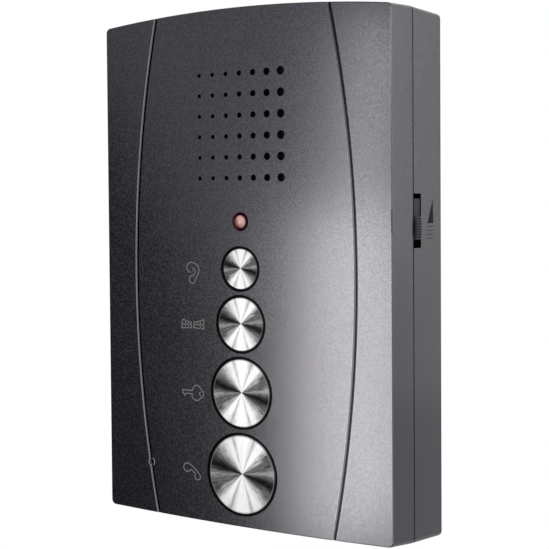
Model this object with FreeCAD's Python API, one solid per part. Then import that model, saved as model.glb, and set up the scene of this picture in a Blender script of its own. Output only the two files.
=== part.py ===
import FreeCAD, Part
import math
import os
from FreeCAD import Vector

# Hands-free wall intercom station, in millimetres.
# +X is to the right seen from the front, +Y goes into the wall, +Z is up.
# The origin lies on the wall face of the rear housing.

# Casing
body_width = 114.4
cover_depth = 14.4
housing_depth = 20.6
wall = 2.4
front_wall = 2.4
back_wall = 2.4
bottom_below_origin = 85.3
top_arch_rise = 3.3
bottom_arch_drop = 0.95
cover_bottom_flare = 2.0
housing_bottom_flare = 1.95
cover_top_flare = 0.6
housing_top_taper = 0.5
corner_radius = 1.8
inner_corner_radius = 0.6
front_edge_radius = 0.3
rear_edge_radius = 0.5

# Joint between the front cover and the rear housing
shadow_gap_width = 0.5
shadow_gap_depth = 0.6
tongue_thickness = 1.0
tongue_length = 2.0
fit_clearance = 0.2
hook_width = 10.0
hook_thickness = 1.6
hook_reach = 4.0
hook_nib = 0.8
hook_nib_length = 1.4
hook_from_side = 27.0
foot_width = 10.0
foot_thickness = 4.0
foot_reach = 9.5
foot_from_side = 19.6
cover_screw_from_parting = 5.8
cover_screw_radius = 1.5
cover_screw_length = 6.5
cover_screw_head_radius = 2.6
cover_screw_head_height = 1.0
screw_head_sink = 0.2
driver_slot_width = 0.6
driver_slot_depth = 0.5

# Two curved grooves down the front
groove_from_side = 13.1
groove_arc_radius = 416.7
groove_mid_z = -1.4
groove_width = 1.3
groove_floor_width = 0.4
groove_depth = 0.9
groove_half_angle = 13.0

# Four round buttons, from the lowest to the highest
button_names = ["talk", "lock", "gate", "listen"]
button_disc_radii = [13.4, 11.6, 9.15, 6.95]
button_ring_width = 0.7
button_web = 1.1
button_bottom_margin = 3.72
button_gap = 0.2
button_disc_proud = 0.3
button_ring_proud = 0.15
button_disc_thickness = 1.0
button_disc_bevel = 0.3
button_disc_play = 0.03
button_floor = 1.5
button_skirt = 1.0
button_skirt_length = 6.2
button_travel = 1.5
collar_width = 1.2
collar_height = 2.2
collar_half_angle = 35.0
ear_width = 1.0
ear_thickness = 1.2
ear_half_angle = 20.0
stem_radius = 2.0

# Push switches on the board
switch_width = 8.5
switch_height = 5.5
switch_wall = 0.8
switch_bore_radius = 3.3
plunger_rest_stand = 0.5
plunger_radius = 2.2
plunger_flange = 0.8
plunger_play = 0.2
spring_wire_radius = 0.15
spring_mean_radius = 1.9
spring_turns = 3
spring_end_play = 0.05

# Signal lamp
lamp_radius = 2.5
lamp_above_button = 8.2
lamp_proud = 1.3
lamp_length = 8.6
lamp_flange_radius = 2.9
lamp_flange_height = 1.0
lamp_hole_play = 0.15
lamp_rim_radius = 3.2
lamp_rim_depth = 0.45
lamp_lead_radius = 0.25
lamp_lead_spacing = 2.54

# Loudspeaker behind the grille
speaker_radius = 25.0
speaker_above_lamp = 7.1
speaker_to_top = 11.1
felt_thickness = 0.3
gasket_width = 2.7
gasket_thickness = 1.2
flange_width = 4.0
frame_sheet = 0.8
basket_depth = 8.0
magnet_seat_radius = 14.0
magnet_radius = 16.0
magnet_bore_radius = 9.0
magnet_height = 6.0
pole_plate = 2.0
pole_radius = 6.2
pole_gap = 1.1
coil_thickness = 0.35
cone_sheet = 0.4
cone_glue_width = 0.8
cone_to_basket_rear = 3.0
surround_width = 2.4
surround_rise = 0.3
dust_cap_rise = 2.2
spider_folds = 6
spider_rise = 0.5
basket_windows = 4
basket_window_width = 11.0
speaker_ring_play = 0.3
speaker_ring_wall = 1.2
speaker_ring_height = 2.0
clamp_angles = [90.0, 200.0, 340.0]
clamp_boss_radius = 3.0
clamp_boss_height = 5.0
clamp_from_rim = 4.0
clamp_width = 6.0
clamp_sheet = 0.8
clamp_grip = 2.2
clamp_screw_rest = 0.5

# Grille of round holes that grow from left to right
grille_columns = 7
grille_rows = 6
grille_column_pitch = 5.47
grille_row_pitch = 6.98
grille_small_diameter = 1.4
grille_large_diameter = 2.9
grille_growth = 1.8

# Microphone on the left groove
microphone_above_talk = 0.25
microphone_hole_radius = 1.1
microphone_radius = 3.0
microphone_height = 4.5
boot_wall = 1.4
boot_height = 6.0
boot_ring_wall = 1.2
boot_ring_height = 4.0
pin_radius = 0.3
microphone_pin_spacing = 2.5

# Circuit board and what fixes it
board_thickness = 1.6
board_from_front = 12.0
board_side_gap = 5.2
board_bottom_gap = 5.2
board_speaker_gap = 2.5
board_top_margin = 1.2
post_radius = 3.25
post_edge = 4.0
upper_post_inset = 14.0
upper_post_drop = 5.0
board_screw_radius = 1.4
board_screw_length = 8.0
board_screw_head_radius = 2.8
board_screw_head_height = 1.8
pilot_clearance = 0.03

# Volume slider in the right side
volume_above_lamp = 0.25
volume_slot_width = 5.6
volume_slot_length = 17.6
volume_rest_offset = -2.3
volume_end_gap = 0.2
grip_length = 7.7
grip_side_gap = 0.3
grip_proud = 0.6
grip_ribs = 9
grip_rib_depth = 0.35
grip_crown = 0.45
shield_thickness = 0.8
shield_overlap = 0.8
shield_gap = 0.3
tab_length = 5.6
tab_sink = 0.3
tab_front_gap = 1.0
socket_width = 4.0
pot_width = 7.0
pot_length = 27.0
pot_sheet = 0.8
pot_to_shield = 3.6
lever_thickness = 1.2
lever_width = 3.6
lever_play = 0.3
carriage_length = 5.0
carriage_play = 0.2
socket_play = 0.05

# Wall screws and cable entry in the back
wall_screw_spacing_x = 60.0
wall_screw_spacing_z = 120.0
wall_slot_width = 4.4
wall_slot_length = 9.0
wall_pad_margin = 3.0
wall_pad_height = 1.0
entry_width = 36.0
entry_height = 20.0
entry_from_board_end = 28.0
entry_rim = 1.6
entry_rim_height = 1.0

# Terminal block for the wall cable
terminal_ways = 8
terminal_pitch = 5.0
terminal_depth = 8.0
terminal_height = 10.0
terminal_from_entry = 2.0
terminal_cell_width = 3.6
terminal_cell_height = 4.4
terminal_cell_depth = 6.4
terminal_floor = 1.0
cage_sheet = 0.6
cage_play = 0.1
terminal_screw_radius = 1.1
terminal_head_radius = 1.6
terminal_head_height = 1.6

# Small parts on the back of the board
chip_length = 19.5
chip_width = 6.4
chip_height = 3.2
chip_legs = 8
chip_leg_pitch = 2.54
chip_leg_width = 0.5
socket_height = 4.0
socket_margin = 1.2
capacitor_radius = 4.0
capacitor_height = 12.0
capacitor_bevel = 0.5
film_length = 7.2
film_width = 2.6
film_height = 6.5
resistor_radius = 1.2
resistor_length = 6.4
diode_radius = 1.3
diode_length = 4.6
wire_radius = 0.3
wire_bend = 1.5
transistor_radius = 2.4
transistor_height = 4.6
transistor_leg = 2.0
trimmer_width = 6.6
trimmer_height = 4.2
trimmer_rotor_radius = 2.2
trimmer_rotor_height = 0.6
part_columns = 3
column_gap = 3.5
diode_column = 2.6
row_spacing = 9.5

# Speaker lead and its connector
connector_width = 7.5
connector_depth = 5.8
connector_height = 7.0
connector_wall = 0.8
connector_play = 0.1
plug_stand = 1.0
lead_radius = 0.6
lead_spacing = 2.5
lead_back_gap = 3.2
lug_thickness = 0.5
lug_width = 2.0
lug_length = 4.0
strip_width = 10.0
strip_thickness = 1.0
strip_height = 6.0

# Depths of the main planes
y_parting = -housing_depth
y_front = y_parting - cover_depth
y_cover_floor = y_front + front_wall
y_housing_floor = -back_wall
y_board_front = y_front + board_from_front
y_board_rear = y_board_front + board_thickness

# Heights of the casing and of what stands in a column on the front
half_width = body_width / 2
bottom_corner_z = -bottom_below_origin
button_hole_radii = [r + button_ring_width for r in button_disc_radii]
button_heights = []
column_z = bottom_corner_z - bottom_arch_drop + button_bottom_margin
for hole_radius in button_hole_radii:
    button_heights.append(column_z + hole_radius)
    column_z += 2 * hole_radius + button_web
lamp_z = column_z - button_web + lamp_above_button
speaker_z = lamp_z + speaker_above_lamp + speaker_radius
top_corner_z = speaker_z + speaker_radius + speaker_to_top

# Places worked out from them
groove_mid_x = half_width - groove_from_side
microphone_z = button_heights[0] + microphone_above_talk
microphone_x = -(groove_mid_x - groove_arc_radius
                 + math.sqrt(groove_arc_radius ** 2 - (microphone_z - groove_mid_z) ** 2))
volume_z = lamp_z + volume_above_lamp
grip_z = volume_z + volume_rest_offset
y_volume = y_parting + volume_slot_width / 2
board_half_width = half_width - wall - board_side_gap
board_bottom_z = bottom_corner_z + wall + board_bottom_gap
board_top_z = volume_z + pot_length / 2 + board_top_margin
entry_z = board_bottom_z + entry_from_board_end
terminal_z = entry_z + entry_height / 2 + terminal_from_entry + terminal_depth / 2
shield_x = half_width - wall - shield_gap
pot_x = shield_x - shield_thickness - pot_to_shield
part_spacing = (pot_x - pot_width - column_gap - capacitor_radius) / part_columns
post_places = [(-1, board_half_width - post_edge, board_bottom_z + post_edge),
               (1, board_half_width - post_edge, board_bottom_z + post_edge),
               (-1, board_half_width - upper_post_inset, board_top_z - upper_post_drop),
               (1, board_half_width - upper_post_inset, board_top_z - upper_post_drop)]


# Simple solids

def block(x0, x1, y0, y1, z0, z1):
    """A box between two corners."""
    return Part.makeBox(x1 - x0, y1 - y0, z1 - z0, Vector(x0, y0, z0))


def rod(x, z, y0, y1, radius):
    """A cylinder along Y."""
    return Part.makeCylinder(radius, y1 - y0, Vector(x, y0, z), Vector(0, 1, 0))


def tube(x, z, y0, y1, outer, inner):
    """A cylinder along Y with a bore right through."""
    return rod(x, z, y0, y1, outer).cut(rod(x, z, y0 - 1, y1 + 1, inner))


def turned(profile, x, z):
    """A solid of revolution about a line along Y, from (radius, y) points."""
    points = [Vector(x + r, y, z) for r, y in profile]
    face = Part.Face(Part.makePolygon(points + points[:1]))
    return face.revolve(Vector(x, 0, z), Vector(0, 1, 0), 360)


def sector(x, z, y0, y1, outer, inner, middle, half_angle):
    """Part of a ring along Y, to both sides of an angle in degrees."""
    ring = tube(x, z, y0, y1, outer, inner)
    reach = 2 * outer
    corners = [Vector(x, y0 - 1, z)]
    for step in (-1, 0, 1):
        angle = math.radians(middle + step * half_angle)
        corners.append(Vector(x + reach * math.cos(angle), y0 - 1, z + reach * math.sin(angle)))
    wedge = Part.Face(Part.makePolygon(corners + corners[:1])).extrude(Vector(0, y1 - y0 + 2, 0))
    return ring.common(wedge)


def joined(solids):
    """One solid from several that touch or overlap."""
    first = solids[0]
    return first.fuse(solids[1:]).removeSplitter() if len(solids) > 1 else first


def group(solids):
    """Separate solids kept in one node."""
    return Part.makeCompound(solids)


# Outline of the casing

def arch_radius(rise):
    """Radius of an arch over the casing's width."""
    return (half_width ** 2 + rise ** 2) / (2 * rise)


def corner_levels(y):
    """Heights of the casing's top and bottom corners at a depth."""
    if y <= y_parting:
        share = (y - y_front) / cover_depth
        return top_corner_z + cover_top_flare * share, bottom_corner_z - cover_bottom_flare * share
    share = (y - y_parting) / housing_depth
    top = top_corner_z + cover_top_flare - housing_top_taper * share
    return top, bottom_corner_z - cover_bottom_flare - housing_bottom_flare * share


def corner_points(half, level, rise, inset, radius, up):
    """Side, middle and arch points of one rounded corner, as (x, z)."""
    arch = arch_radius(rise)
    centre_z = level + up * (rise - arch)
    arch -= inset
    x = half - radius
    lift = math.sqrt((arch - radius) ** 2 - x ** 2)
    lean = math.atan2(lift, x)
    middle = lean / 2
    z = centre_z + up * lift
    side = (half, z)
    mid = (x + radius * math.cos(middle), z + up * radius * math.sin(middle))
    end = (x + radius * math.cos(lean), z + up * radius * math.sin(lean))
    return side, mid, end, centre_z + up * arch


def casing_wire(y, inset):
    """The casing's outline at a depth, drawn in by an inset."""
    top, bottom = corner_levels(y)
    half = half_width - inset
    radius = max(corner_radius - inset, inner_corner_radius)
    upper = corner_points(half, top, top_arch_rise, inset, radius, 1)
    lower = corner_points(half, bottom, bottom_arch_drop, inset, radius, -1)

    def at(point, sign):
        return Vector(sign * point[0], y, point[1])

    edges = [Part.LineSegment(at(lower[0], 1), at(upper[0], 1)).toShape(),
             Part.Arc(at(upper[0], 1), at(upper[1], 1), at(upper[2], 1)).toShape(),
             Part.Arc(at(upper[2], 1), Vector(0, y, upper[3]), at(upper[2], -1)).toShape(),
             Part.Arc(at(upper[2], -1), at(upper[1], -1), at(upper[0], -1)).toShape(),
             Part.LineSegment(at(upper[0], -1), at(lower[0], -1)).toShape(),
             Part.Arc(at(lower[0], -1), at(lower[1], -1), at(lower[2], -1)).toShape(),
             Part.Arc(at(lower[2], -1), Vector(0, y, lower[3]), at(lower[2], 1)).toShape(),
             Part.Arc(at(lower[2], 1), at(lower[1], 1), at(lower[0], 1)).toShape()]
    return Part.Wire(edges)


def casing_block(y0, y1, inset):
    """The casing's solid between two depths, drawn in by an inset."""
    depths = [y0] + [y for y in (y_parting,) if y0 < y < y1] + [y1]
    pieces = []
    for near, far in zip(depths, depths[1:]):
        wires = [casing_wire(near, inset), casing_wire(far, inset)]
        pieces.append(Part.makeLoft(wires, True, True))
    return pieces[0] if len(pieces) == 1 else pieces[0].fuse(pieces[1:])


def casing_ring(y0, y1, outer_inset, inner_inset):
    """A ring that follows the casing's wall between two insets."""
    return casing_block(y0, y1, outer_inset).cut(casing_block(y0 - 1, y1 + 1, inner_inset))


def bottom_z(x, y):
    """Height of the casing's underside at a place."""
    arch = arch_radius(bottom_arch_drop)
    centre_z = corner_levels(y)[1] - bottom_arch_drop + arch
    return centre_z - math.sqrt(arch ** 2 - x ** 2)


def rim_rounded(solid, y, radius):
    """The solid with the outer edges at one depth rounded."""
    rim = []
    for edge in solid.Edges:
        if max(abs(edge.BoundBox.YMin - y), abs(edge.BoundBox.YMax - y)) < 1e-4:
            rim.append(edge)
    return solid.makeFillet(radius, rim)


# Front cover and rear housing

def groove_tool(side):
    """The cutter of one curved groove, +1 for the right and -1 for the left."""
    centre_x = groove_mid_x - groove_arc_radius
    outer = groove_arc_radius + groove_width / 2
    inner = groove_arc_radius - groove_width / 2
    floor = groove_floor_width / 2
    profile = [(inner, y_front - 1), (inner, y_front), (groove_arc_radius - floor, y_front + groove_depth),
               (groove_arc_radius + floor, y_front + groove_depth), (outer, y_front), (outer, y_front - 1)]
    points = [Vector(centre_x + r, y, groove_mid_z) for r, y in profile]
    face = Part.Face(Part.makePolygon(points + points[:1]))
    axis = Vector(centre_x, 0, groove_mid_z)
    face.rotate(axis, Vector(0, 1, 0), -groove_half_angle)
    tool = face.revolve(axis, Vector(0, 1, 0), 2 * groove_half_angle)
    return tool if side > 0 else tool.mirror(Vector(0, 0, 0), Vector(1, 0, 0))


def grille_holes():
    """Cutters of the speaker grille."""
    holes = []
    for column in range(grille_columns):
        share = (column / (grille_columns - 1)) ** grille_growth
        diameter = grille_small_diameter + (grille_large_diameter - grille_small_diameter) * share
        x = (column - (grille_columns - 1) / 2) * grille_column_pitch
        for row in range(grille_rows):
            z = speaker_z + (row - (grille_rows - 1) / 2) * grille_row_pitch
            holes.append(rod(x, z, y_front - 1, y_cover_floor + 1, diameter / 2))
    return holes


def clamp_places():
    """Centres of the speaker's clamp bosses, with their angles."""
    reach = speaker_radius + clamp_from_rim
    places = []
    for angle in clamp_angles:
        turn = math.radians(angle)
        places.append((reach * math.cos(turn), speaker_z + reach * math.sin(turn), angle))
    return places


def foot_centres():
    """Middles of the two screw feet, across the casing."""
    return (-(half_width - foot_from_side), half_width - foot_from_side)


def hook_centres():
    """Middles of the two top hooks, across the casing."""
    return (-(half_width - hook_from_side), half_width - hook_from_side)


def cover_hook(x):
    """A hook on the cover's top wall that reaches into the housing."""
    half = hook_width / 2
    clear = wall + fit_clearance
    root_end = y_parting - tongue_length - 2 * fit_clearance
    tip = y_parting + hook_reach
    span = block(x - half, x + half, y_cover_floor, tip, 0, top_corner_z + 20)
    root = casing_ring(y_cover_floor, root_end, wall - tongue_thickness / 2, clear + hook_thickness)
    arm = casing_ring(root_end, tip, clear, clear + hook_thickness)
    nib = casing_ring(tip - hook_nib_length, tip, clear - hook_nib, clear + hook_thickness)
    return joined([piece.common(span) for piece in (root, arm, nib)])


def hook_pocket(x):
    """The pocket in the housing's top wall that takes a hook's nib."""
    half = hook_width / 2 + fit_clearance
    tip = y_parting + hook_reach + fit_clearance
    start = tip - hook_nib_length - 2 * fit_clearance
    span = block(x - half, x + half, start, tip, 0, top_corner_z + 20)
    return casing_ring(start, tip, wall - hook_nib, wall + 1).common(span)


def cover_foot(x):
    """A foot on the cover's bottom wall that takes a screw from below."""
    half = foot_width / 2
    clear = wall + fit_clearance
    root_end = y_parting - tongue_length - 2 * fit_clearance
    tip = y_parting + foot_reach
    span = block(x - half, x + half, y_cover_floor, tip, bottom_corner_z - 20, 0)
    root = casing_ring(y_cover_floor, root_end, wall - tongue_thickness / 2, clear + foot_thickness)
    arm = casing_ring(root_end, tip, clear, clear + foot_thickness)
    return joined([piece.common(span) for piece in (root, arm)])


def bottom_hole(x, radius, z0, z1):
    """A round cutter along Z at a foot's screw."""
    place = Vector(x, y_parting + cover_screw_from_parting, z0)
    return Part.makeCylinder(radius, z1 - z0, place, Vector(0, 0, 1))


def front_cover():
    """The front shell, with its holes, grooves, bosses, hooks and feet."""
    shell = rim_rounded(casing_block(y_front, y_parting, 0), y_front, front_edge_radius)
    shell = shell.cut(casing_block(y_cover_floor, y_parting + 1, wall))
    rebate_start = y_parting - tongue_length - fit_clearance
    rebate = casing_ring(rebate_start, y_parting + 1, wall - tongue_thickness - fit_clearance, wall + 1)
    shell = shell.cut(rebate)
    added = [cover_hook(x) for x in hook_centres()] + [cover_foot(x) for x in foot_centres()]
    for sign, x, z in post_places:
        added.append(rod(sign * x, z, y_cover_floor, y_board_front, post_radius))
    for x, z, angle in clamp_places():
        added.append(rod(x, z, y_cover_floor, y_cover_floor + clamp_boss_height, clamp_boss_radius))
    ring = speaker_radius + speaker_ring_play
    added.append(tube(0, speaker_z, y_cover_floor, y_cover_floor + speaker_ring_height,
                      ring + speaker_ring_wall, ring))
    boot = microphone_radius + boot_wall
    added.append(tube(microphone_x, microphone_z, y_cover_floor, y_cover_floor + boot_ring_height,
                      boot + boot_ring_wall, boot))
    for z, radius in zip(button_heights, button_hole_radii):
        for middle in (0, 180):
            added.append(sector(0, z, y_cover_floor, y_cover_floor + collar_height,
                                radius + collar_width, radius, middle, collar_half_angle))
    shell = shell.fuse(added)
    cuts = grille_holes() + [groove_tool(1), groove_tool(-1)]
    for z, radius in zip(button_heights, button_hole_radii):
        cuts.append(rod(0, z, y_front - 1, y_cover_floor + 1, radius))
    cuts.append(rod(0, lamp_z, y_front - 1, y_cover_floor + 1, lamp_radius + lamp_hole_play))
    cuts.append(Part.makeCone(lamp_rim_radius, lamp_radius + lamp_hole_play, lamp_rim_depth,
                              Vector(0, y_front, lamp_z), Vector(0, 1, 0)))
    cuts.append(rod(microphone_x, microphone_z, y_front - 1, y_cover_floor + 1, microphone_hole_radius))
    pilot = board_screw_radius + pilot_clearance
    for sign, x, z in post_places:
        cuts.append(rod(sign * x, z, y_board_front - board_screw_length, y_board_front + 1, pilot))
    for x, z, angle in clamp_places():
        end = y_cover_floor + clamp_boss_height
        cuts.append(rod(x, z, end - clamp_boss_height + clamp_screw_rest, end + 1, pilot))
    for x in foot_centres():
        low = bottom_z(x, y_parting + cover_screw_from_parting)
        cuts.append(bottom_hole(x, cover_screw_radius + pilot_clearance, low, low + 20))
    return shell.cut(cuts).removeSplitter()


def wall_slot(x, z, y0, y1, length, width):
    """A slot along X, cut along Y."""
    half = (length - width) / 2
    ends = [rod(x - half, z, y0, y1, width / 2), rod(x + half, z, y0, y1, width / 2)]
    return joined(ends + [block(x - half, x + half, y0, y1, z - width / 2, z + width / 2)])


def wall_slot_places():
    """Centres of the four slots for the wall screws."""
    half_x = wall_screw_spacing_x / 2
    half_z = wall_screw_spacing_z / 2
    return [(x, z) for x in (-half_x, half_x) for z in (-half_z, half_z)]


def rear_housing():
    """The rear shell, with its tongue, wall slots, cable entry and slider slot."""
    shell = rim_rounded(casing_block(y_parting, 0, 0), 0, rear_edge_radius)
    shell = shell.cut(casing_block(y_parting - 1, y_housing_floor, wall))
    shell = shell.cut(casing_ring(y_parting - 1, y_parting + shadow_gap_width, -1, shadow_gap_depth))
    tongue = casing_ring(y_parting - tongue_length, y_parting + 1, wall - tongue_thickness, wall)
    added = [tongue]
    pad_x = wall_slot_length / 2 + wall_pad_margin
    pad_z = wall_slot_width / 2 + wall_pad_margin
    for x, z in wall_slot_places():
        added.append(block(x - pad_x, x + pad_x, y_housing_floor - wall_pad_height, y_housing_floor,
                           z - pad_z, z + pad_z))
    half_x = entry_width / 2
    half_z = entry_height / 2
    added.append(block(-half_x - entry_rim, half_x + entry_rim, y_housing_floor - entry_rim_height,
                       y_housing_floor, entry_z - half_z - entry_rim, entry_z + half_z + entry_rim))
    shell = shell.fuse(added)
    cuts = [block(-half_x, half_x, y_housing_floor - 5, 1, entry_z - half_z, entry_z + half_z)]
    for x, z in wall_slot_places():
        cuts.append(wall_slot(x, z, y_housing_floor - 5, 1, wall_slot_length, wall_slot_width))
    cuts.append(block(half_width - wall - 2, half_width + 2, y_parting - tongue_length - 1,
                      y_parting + volume_slot_width, volume_z - volume_slot_length / 2,
                      volume_z + volume_slot_length / 2))
    cuts += [hook_pocket(x) for x in hook_centres()]
    for x in foot_centres():
        low = bottom_z(x, y_parting + cover_screw_from_parting)
        cuts.append(bottom_hole(x, cover_screw_radius + fit_clearance, low - 2, low + wall + 1))
        cuts.append(bottom_hole(x, cover_screw_head_radius + fit_clearance, low - 2,
                                low + cover_screw_head_height + screw_head_sink))
    return shell.cut(cuts).removeSplitter()


def cover_screws():
    """The two screws that go up through the housing into the cover's feet."""
    screws = []
    y = y_parting + cover_screw_from_parting
    half = driver_slot_width / 2
    for x in foot_centres():
        low = bottom_z(x, y) + screw_head_sink
        head = bottom_hole(x, cover_screw_head_radius, low, low + cover_screw_head_height)
        shank = bottom_hole(x, cover_screw_radius, low, low + cover_screw_length)
        slot = block(x - cover_screw_head_radius, x + cover_screw_head_radius, y - half, y + half,
                     low - 1, low + driver_slot_depth)
        screws.append(joined([head, shank]).cut(slot))
    return group(screws)


# Buttons and their switches

y_ring = y_front - button_ring_proud
y_disc = y_front - button_disc_proud
y_disc_seat = y_disc + button_disc_thickness
y_switch_top = y_board_front - switch_height
y_plunger_tip = y_switch_top - button_travel - plunger_rest_stand
y_skirt_end = y_ring + button_skirt_length


def button_body(z, disc_radius):
    """The black button under its metal disc, with skirt, ears and stem."""
    hole_radius = disc_radius + button_ring_width
    outer = hole_radius - button_gap
    body = rod(0, z, y_ring, y_skirt_end, outer)
    body = body.cut(rod(0, z, y_ring - 1, y_disc_seat, disc_radius + button_disc_play))
    floor_end = y_disc_seat + button_floor
    body = body.cut(rod(0, z, floor_end, y_skirt_end + 1, outer - button_skirt))
    ear_front = y_cover_floor + collar_height + fit_clearance
    parts = [body, rod(0, z, y_disc_seat, y_plunger_tip, stem_radius)]
    for middle in (0, 180):
        parts.append(sector(0, z, ear_front, ear_front + ear_thickness, hole_radius + ear_width,
                            outer - button_skirt, middle, ear_half_angle))
    return joined(parts)


def button_disc(z, disc_radius):
    """The bevelled metal disc of a button."""
    profile = [(0, y_disc), (disc_radius - button_disc_bevel, y_disc),
               (disc_radius, y_disc + button_disc_bevel), (disc_radius, y_disc_seat), (0, y_disc_seat)]
    return turned(profile, 0, z)


def switch_housing(z):
    """The square housing of a push switch, hollow, with a hole for its plunger."""
    half = switch_width / 2
    housing = block(-half, half, y_switch_top, y_board_front, z - half, z + half)
    y_lid = y_switch_top + switch_wall
    housing = housing.cut(rod(0, z, y_lid, y_board_front - switch_wall, switch_bore_radius))
    return housing.cut(rod(0, z, y_switch_top - 1, y_lid + 1, plunger_radius + plunger_play))


def plunger(z):
    """The plunger of a push switch, held in by its flange."""
    flange_front = y_switch_top + switch_wall + spring_end_play
    stem = rod(0, z, y_plunger_tip, flange_front + plunger_flange, plunger_radius)
    return joined([stem, rod(0, z, flange_front, flange_front + plunger_flange,
                             switch_bore_radius - plunger_play)])


def arc_from(start, tangent, end):
    """An arc between two points that leaves the first along a tangent."""
    chord = end - start
    along = Vector(chord).normalize()
    lean = tangent.getAngle(along)
    side = (tangent - along * tangent.dot(along)).normalize()
    middle = start + chord * 0.5 + side * (chord.Length / 2 * math.tan(lean / 2))
    return Part.Arc(start, middle, end).toShape()


def coil_path(radius, y0, y1, turns):
    """A coil about Y as pairs of tangent arcs, four pairs to a turn."""
    steps = 4 * turns
    rise = (y1 - y0) / (2 * math.pi * turns)
    points = []
    tangents = []
    for step in range(steps + 1):
        turn = step * math.pi / 2
        points.append(Vector(radius * math.cos(turn), y0 + rise * turn, radius * math.sin(turn)))
        tangents.append(Vector(-radius * math.sin(turn), rise, radius * math.cos(turn)).normalize())
    edges = []
    for step in range(steps):
        start, end = points[step], points[step + 1]
        leave, arrive = tangents[step], tangents[step + 1]
        span = end - start
        spread = 1 - leave.dot(arrive)
        lead = span.dot(leave + arrive)
        reach = (math.sqrt(lead ** 2 + 2 * spread * span.dot(span)) - lead) / (2 * spread)
        joint = (start + end + (leave - arrive) * reach) * 0.5
        edges.append(arc_from(start, leave, joint))
        edges.append(arc_from(end, arrive * -1, joint))
    return Part.Wire(Part.sortEdges(edges)[0])


def switch_spring(z):
    """The coil spring between a plunger's flange and the switch's floor."""
    start = y_switch_top + switch_wall + plunger_flange + 2 * spring_end_play + spring_wire_radius
    end = y_board_front - switch_wall - spring_end_play - spring_wire_radius
    path = coil_path(spring_mean_radius, start, end, spring_turns)
    rise = (end - start) / (2 * math.pi * spring_turns)
    first = Vector(spring_mean_radius, start, 0)
    section = Part.Wire(Part.makeCircle(spring_wire_radius, first, Vector(0, rise, spring_mean_radius)))
    coil = path.makePipeShell([section], True, False)
    coil.translate(Vector(0, 0, z))
    return coil


# Signal lamp

def lamp():
    """The lamp: a round bulb with a flange and two leads down to the board."""
    tip = y_front - lamp_proud
    base = tip + lamp_length
    bulb = rod(0, lamp_z, tip + lamp_radius, base, lamp_radius)
    dome = Part.makeSphere(lamp_radius, Vector(0, tip + lamp_radius, lamp_z))
    flange = rod(0, lamp_z, base - lamp_flange_height, base, lamp_flange_radius)
    leads = []
    for sign in (-1, 1):
        leads.append(rod(sign * lamp_lead_spacing / 2, lamp_z, base, y_board_rear, lamp_lead_radius))
    return joined([bulb, dome, flange] + leads)


def lead_holes(x, z, spacing, radius):
    """Cutters for a pair of leads through a spacer or the board."""
    return [rod(x + sign * spacing / 2, z, y_cover_floor, y_board_rear + 1, radius) for sign in (-1, 1)]


def lamp_spacer():
    """The sleeve that holds the lamp off the board."""
    base = y_front - lamp_proud + lamp_length
    spacer = rod(0, lamp_z, base, y_board_front, lamp_flange_radius)
    return spacer.cut(lead_holes(0, lamp_z, lamp_lead_spacing, lamp_lead_radius + pilot_clearance))


# Loudspeaker

y_gasket_rear = y_cover_floor + gasket_thickness
y_flange_rear = y_gasket_rear + frame_sheet
y_basket_rear = y_flange_rear + basket_depth
y_top_plate = y_basket_rear + frame_sheet
y_magnet = y_top_plate + pole_plate
y_yoke = y_magnet + magnet_height
gap_outer = pole_radius + pole_gap
coil_inner = pole_radius + (pole_gap - coil_thickness) / 2
y_coil_front = y_basket_rear - cone_to_basket_rear
basket_rim = speaker_radius - flange_width


def speaker_felt():
    """The thin black cloth behind the grille."""
    return rod(0, speaker_z, y_cover_floor, y_cover_floor + felt_thickness, speaker_radius - gasket_width)


def speaker_gasket():
    """The foam ring between the speaker's flange and the cover."""
    return tube(0, speaker_z, y_cover_floor, y_gasket_rear, speaker_radius, speaker_radius - gasket_width)


def speaker_frame():
    """The pressed steel basket with its windows."""
    profile = [(basket_rim, y_gasket_rear), (speaker_radius, y_gasket_rear),
               (speaker_radius, y_flange_rear), (basket_rim + frame_sheet, y_flange_rear),
               (magnet_seat_radius, y_basket_rear + frame_sheet),
               (gap_outer, y_basket_rear + frame_sheet), (gap_outer, y_basket_rear),
               (magnet_seat_radius - frame_sheet, y_basket_rear)]
    frame = turned(profile, 0, speaker_z)
    half = basket_window_width / 2
    window_start = y_flange_rear + frame_sheet
    for index in range(basket_windows):
        window = block(magnet_seat_radius - frame_sheet, speaker_radius, window_start,
                       y_basket_rear - 2 * frame_sheet, -half, half)
        window.rotate(Vector(0, 0, 0), Vector(0, 1, 0), 45 + index * 360 / basket_windows)
        window.translate(Vector(0, 0, speaker_z))
        frame = frame.cut(window)
    return frame


def speaker_cone():
    """The paper cone with its rolled surround, glued to the front of the basket."""
    coil = coil_inner + coil_thickness
    roll_inner = basket_rim - surround_width
    rise = surround_width / 2
    sheet = cone_sheet
    glued = basket_rim + cone_glue_width
    front = [(glued, y_gasket_rear), (glued, y_gasket_rear - sheet),
             (basket_rim, y_gasket_rear - sheet),
             (basket_rim - rise, y_gasket_rear - sheet - surround_rise),
             (roll_inner, y_gasket_rear + sheet), (coil, y_coil_front - sheet)]
    rear = [(coil, y_coil_front), (roll_inner, y_gasket_rear + 2 * sheet),
            (basket_rim - rise, y_gasket_rear - surround_rise), (basket_rim - sheet, y_gasket_rear)]
    return turned(front + rear, 0, speaker_z)


def speaker_dust_cap():
    """The domed cap in the middle of the cone."""
    radius = coil_inner + coil_thickness
    base = y_coil_front - cone_sheet
    sphere_radius = (radius ** 2 + dust_cap_rise ** 2) / (2 * dust_cap_rise)
    centre = base - dust_cap_rise + sphere_radius
    outer = Part.makeSphere(sphere_radius, Vector(0, centre, speaker_z))
    inner = Part.makeSphere(sphere_radius - cone_sheet, Vector(0, centre, speaker_z))
    return outer.cut(inner).common(rod(0, speaker_z, base - dust_cap_rise - 1, base, radius + 1))


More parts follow.
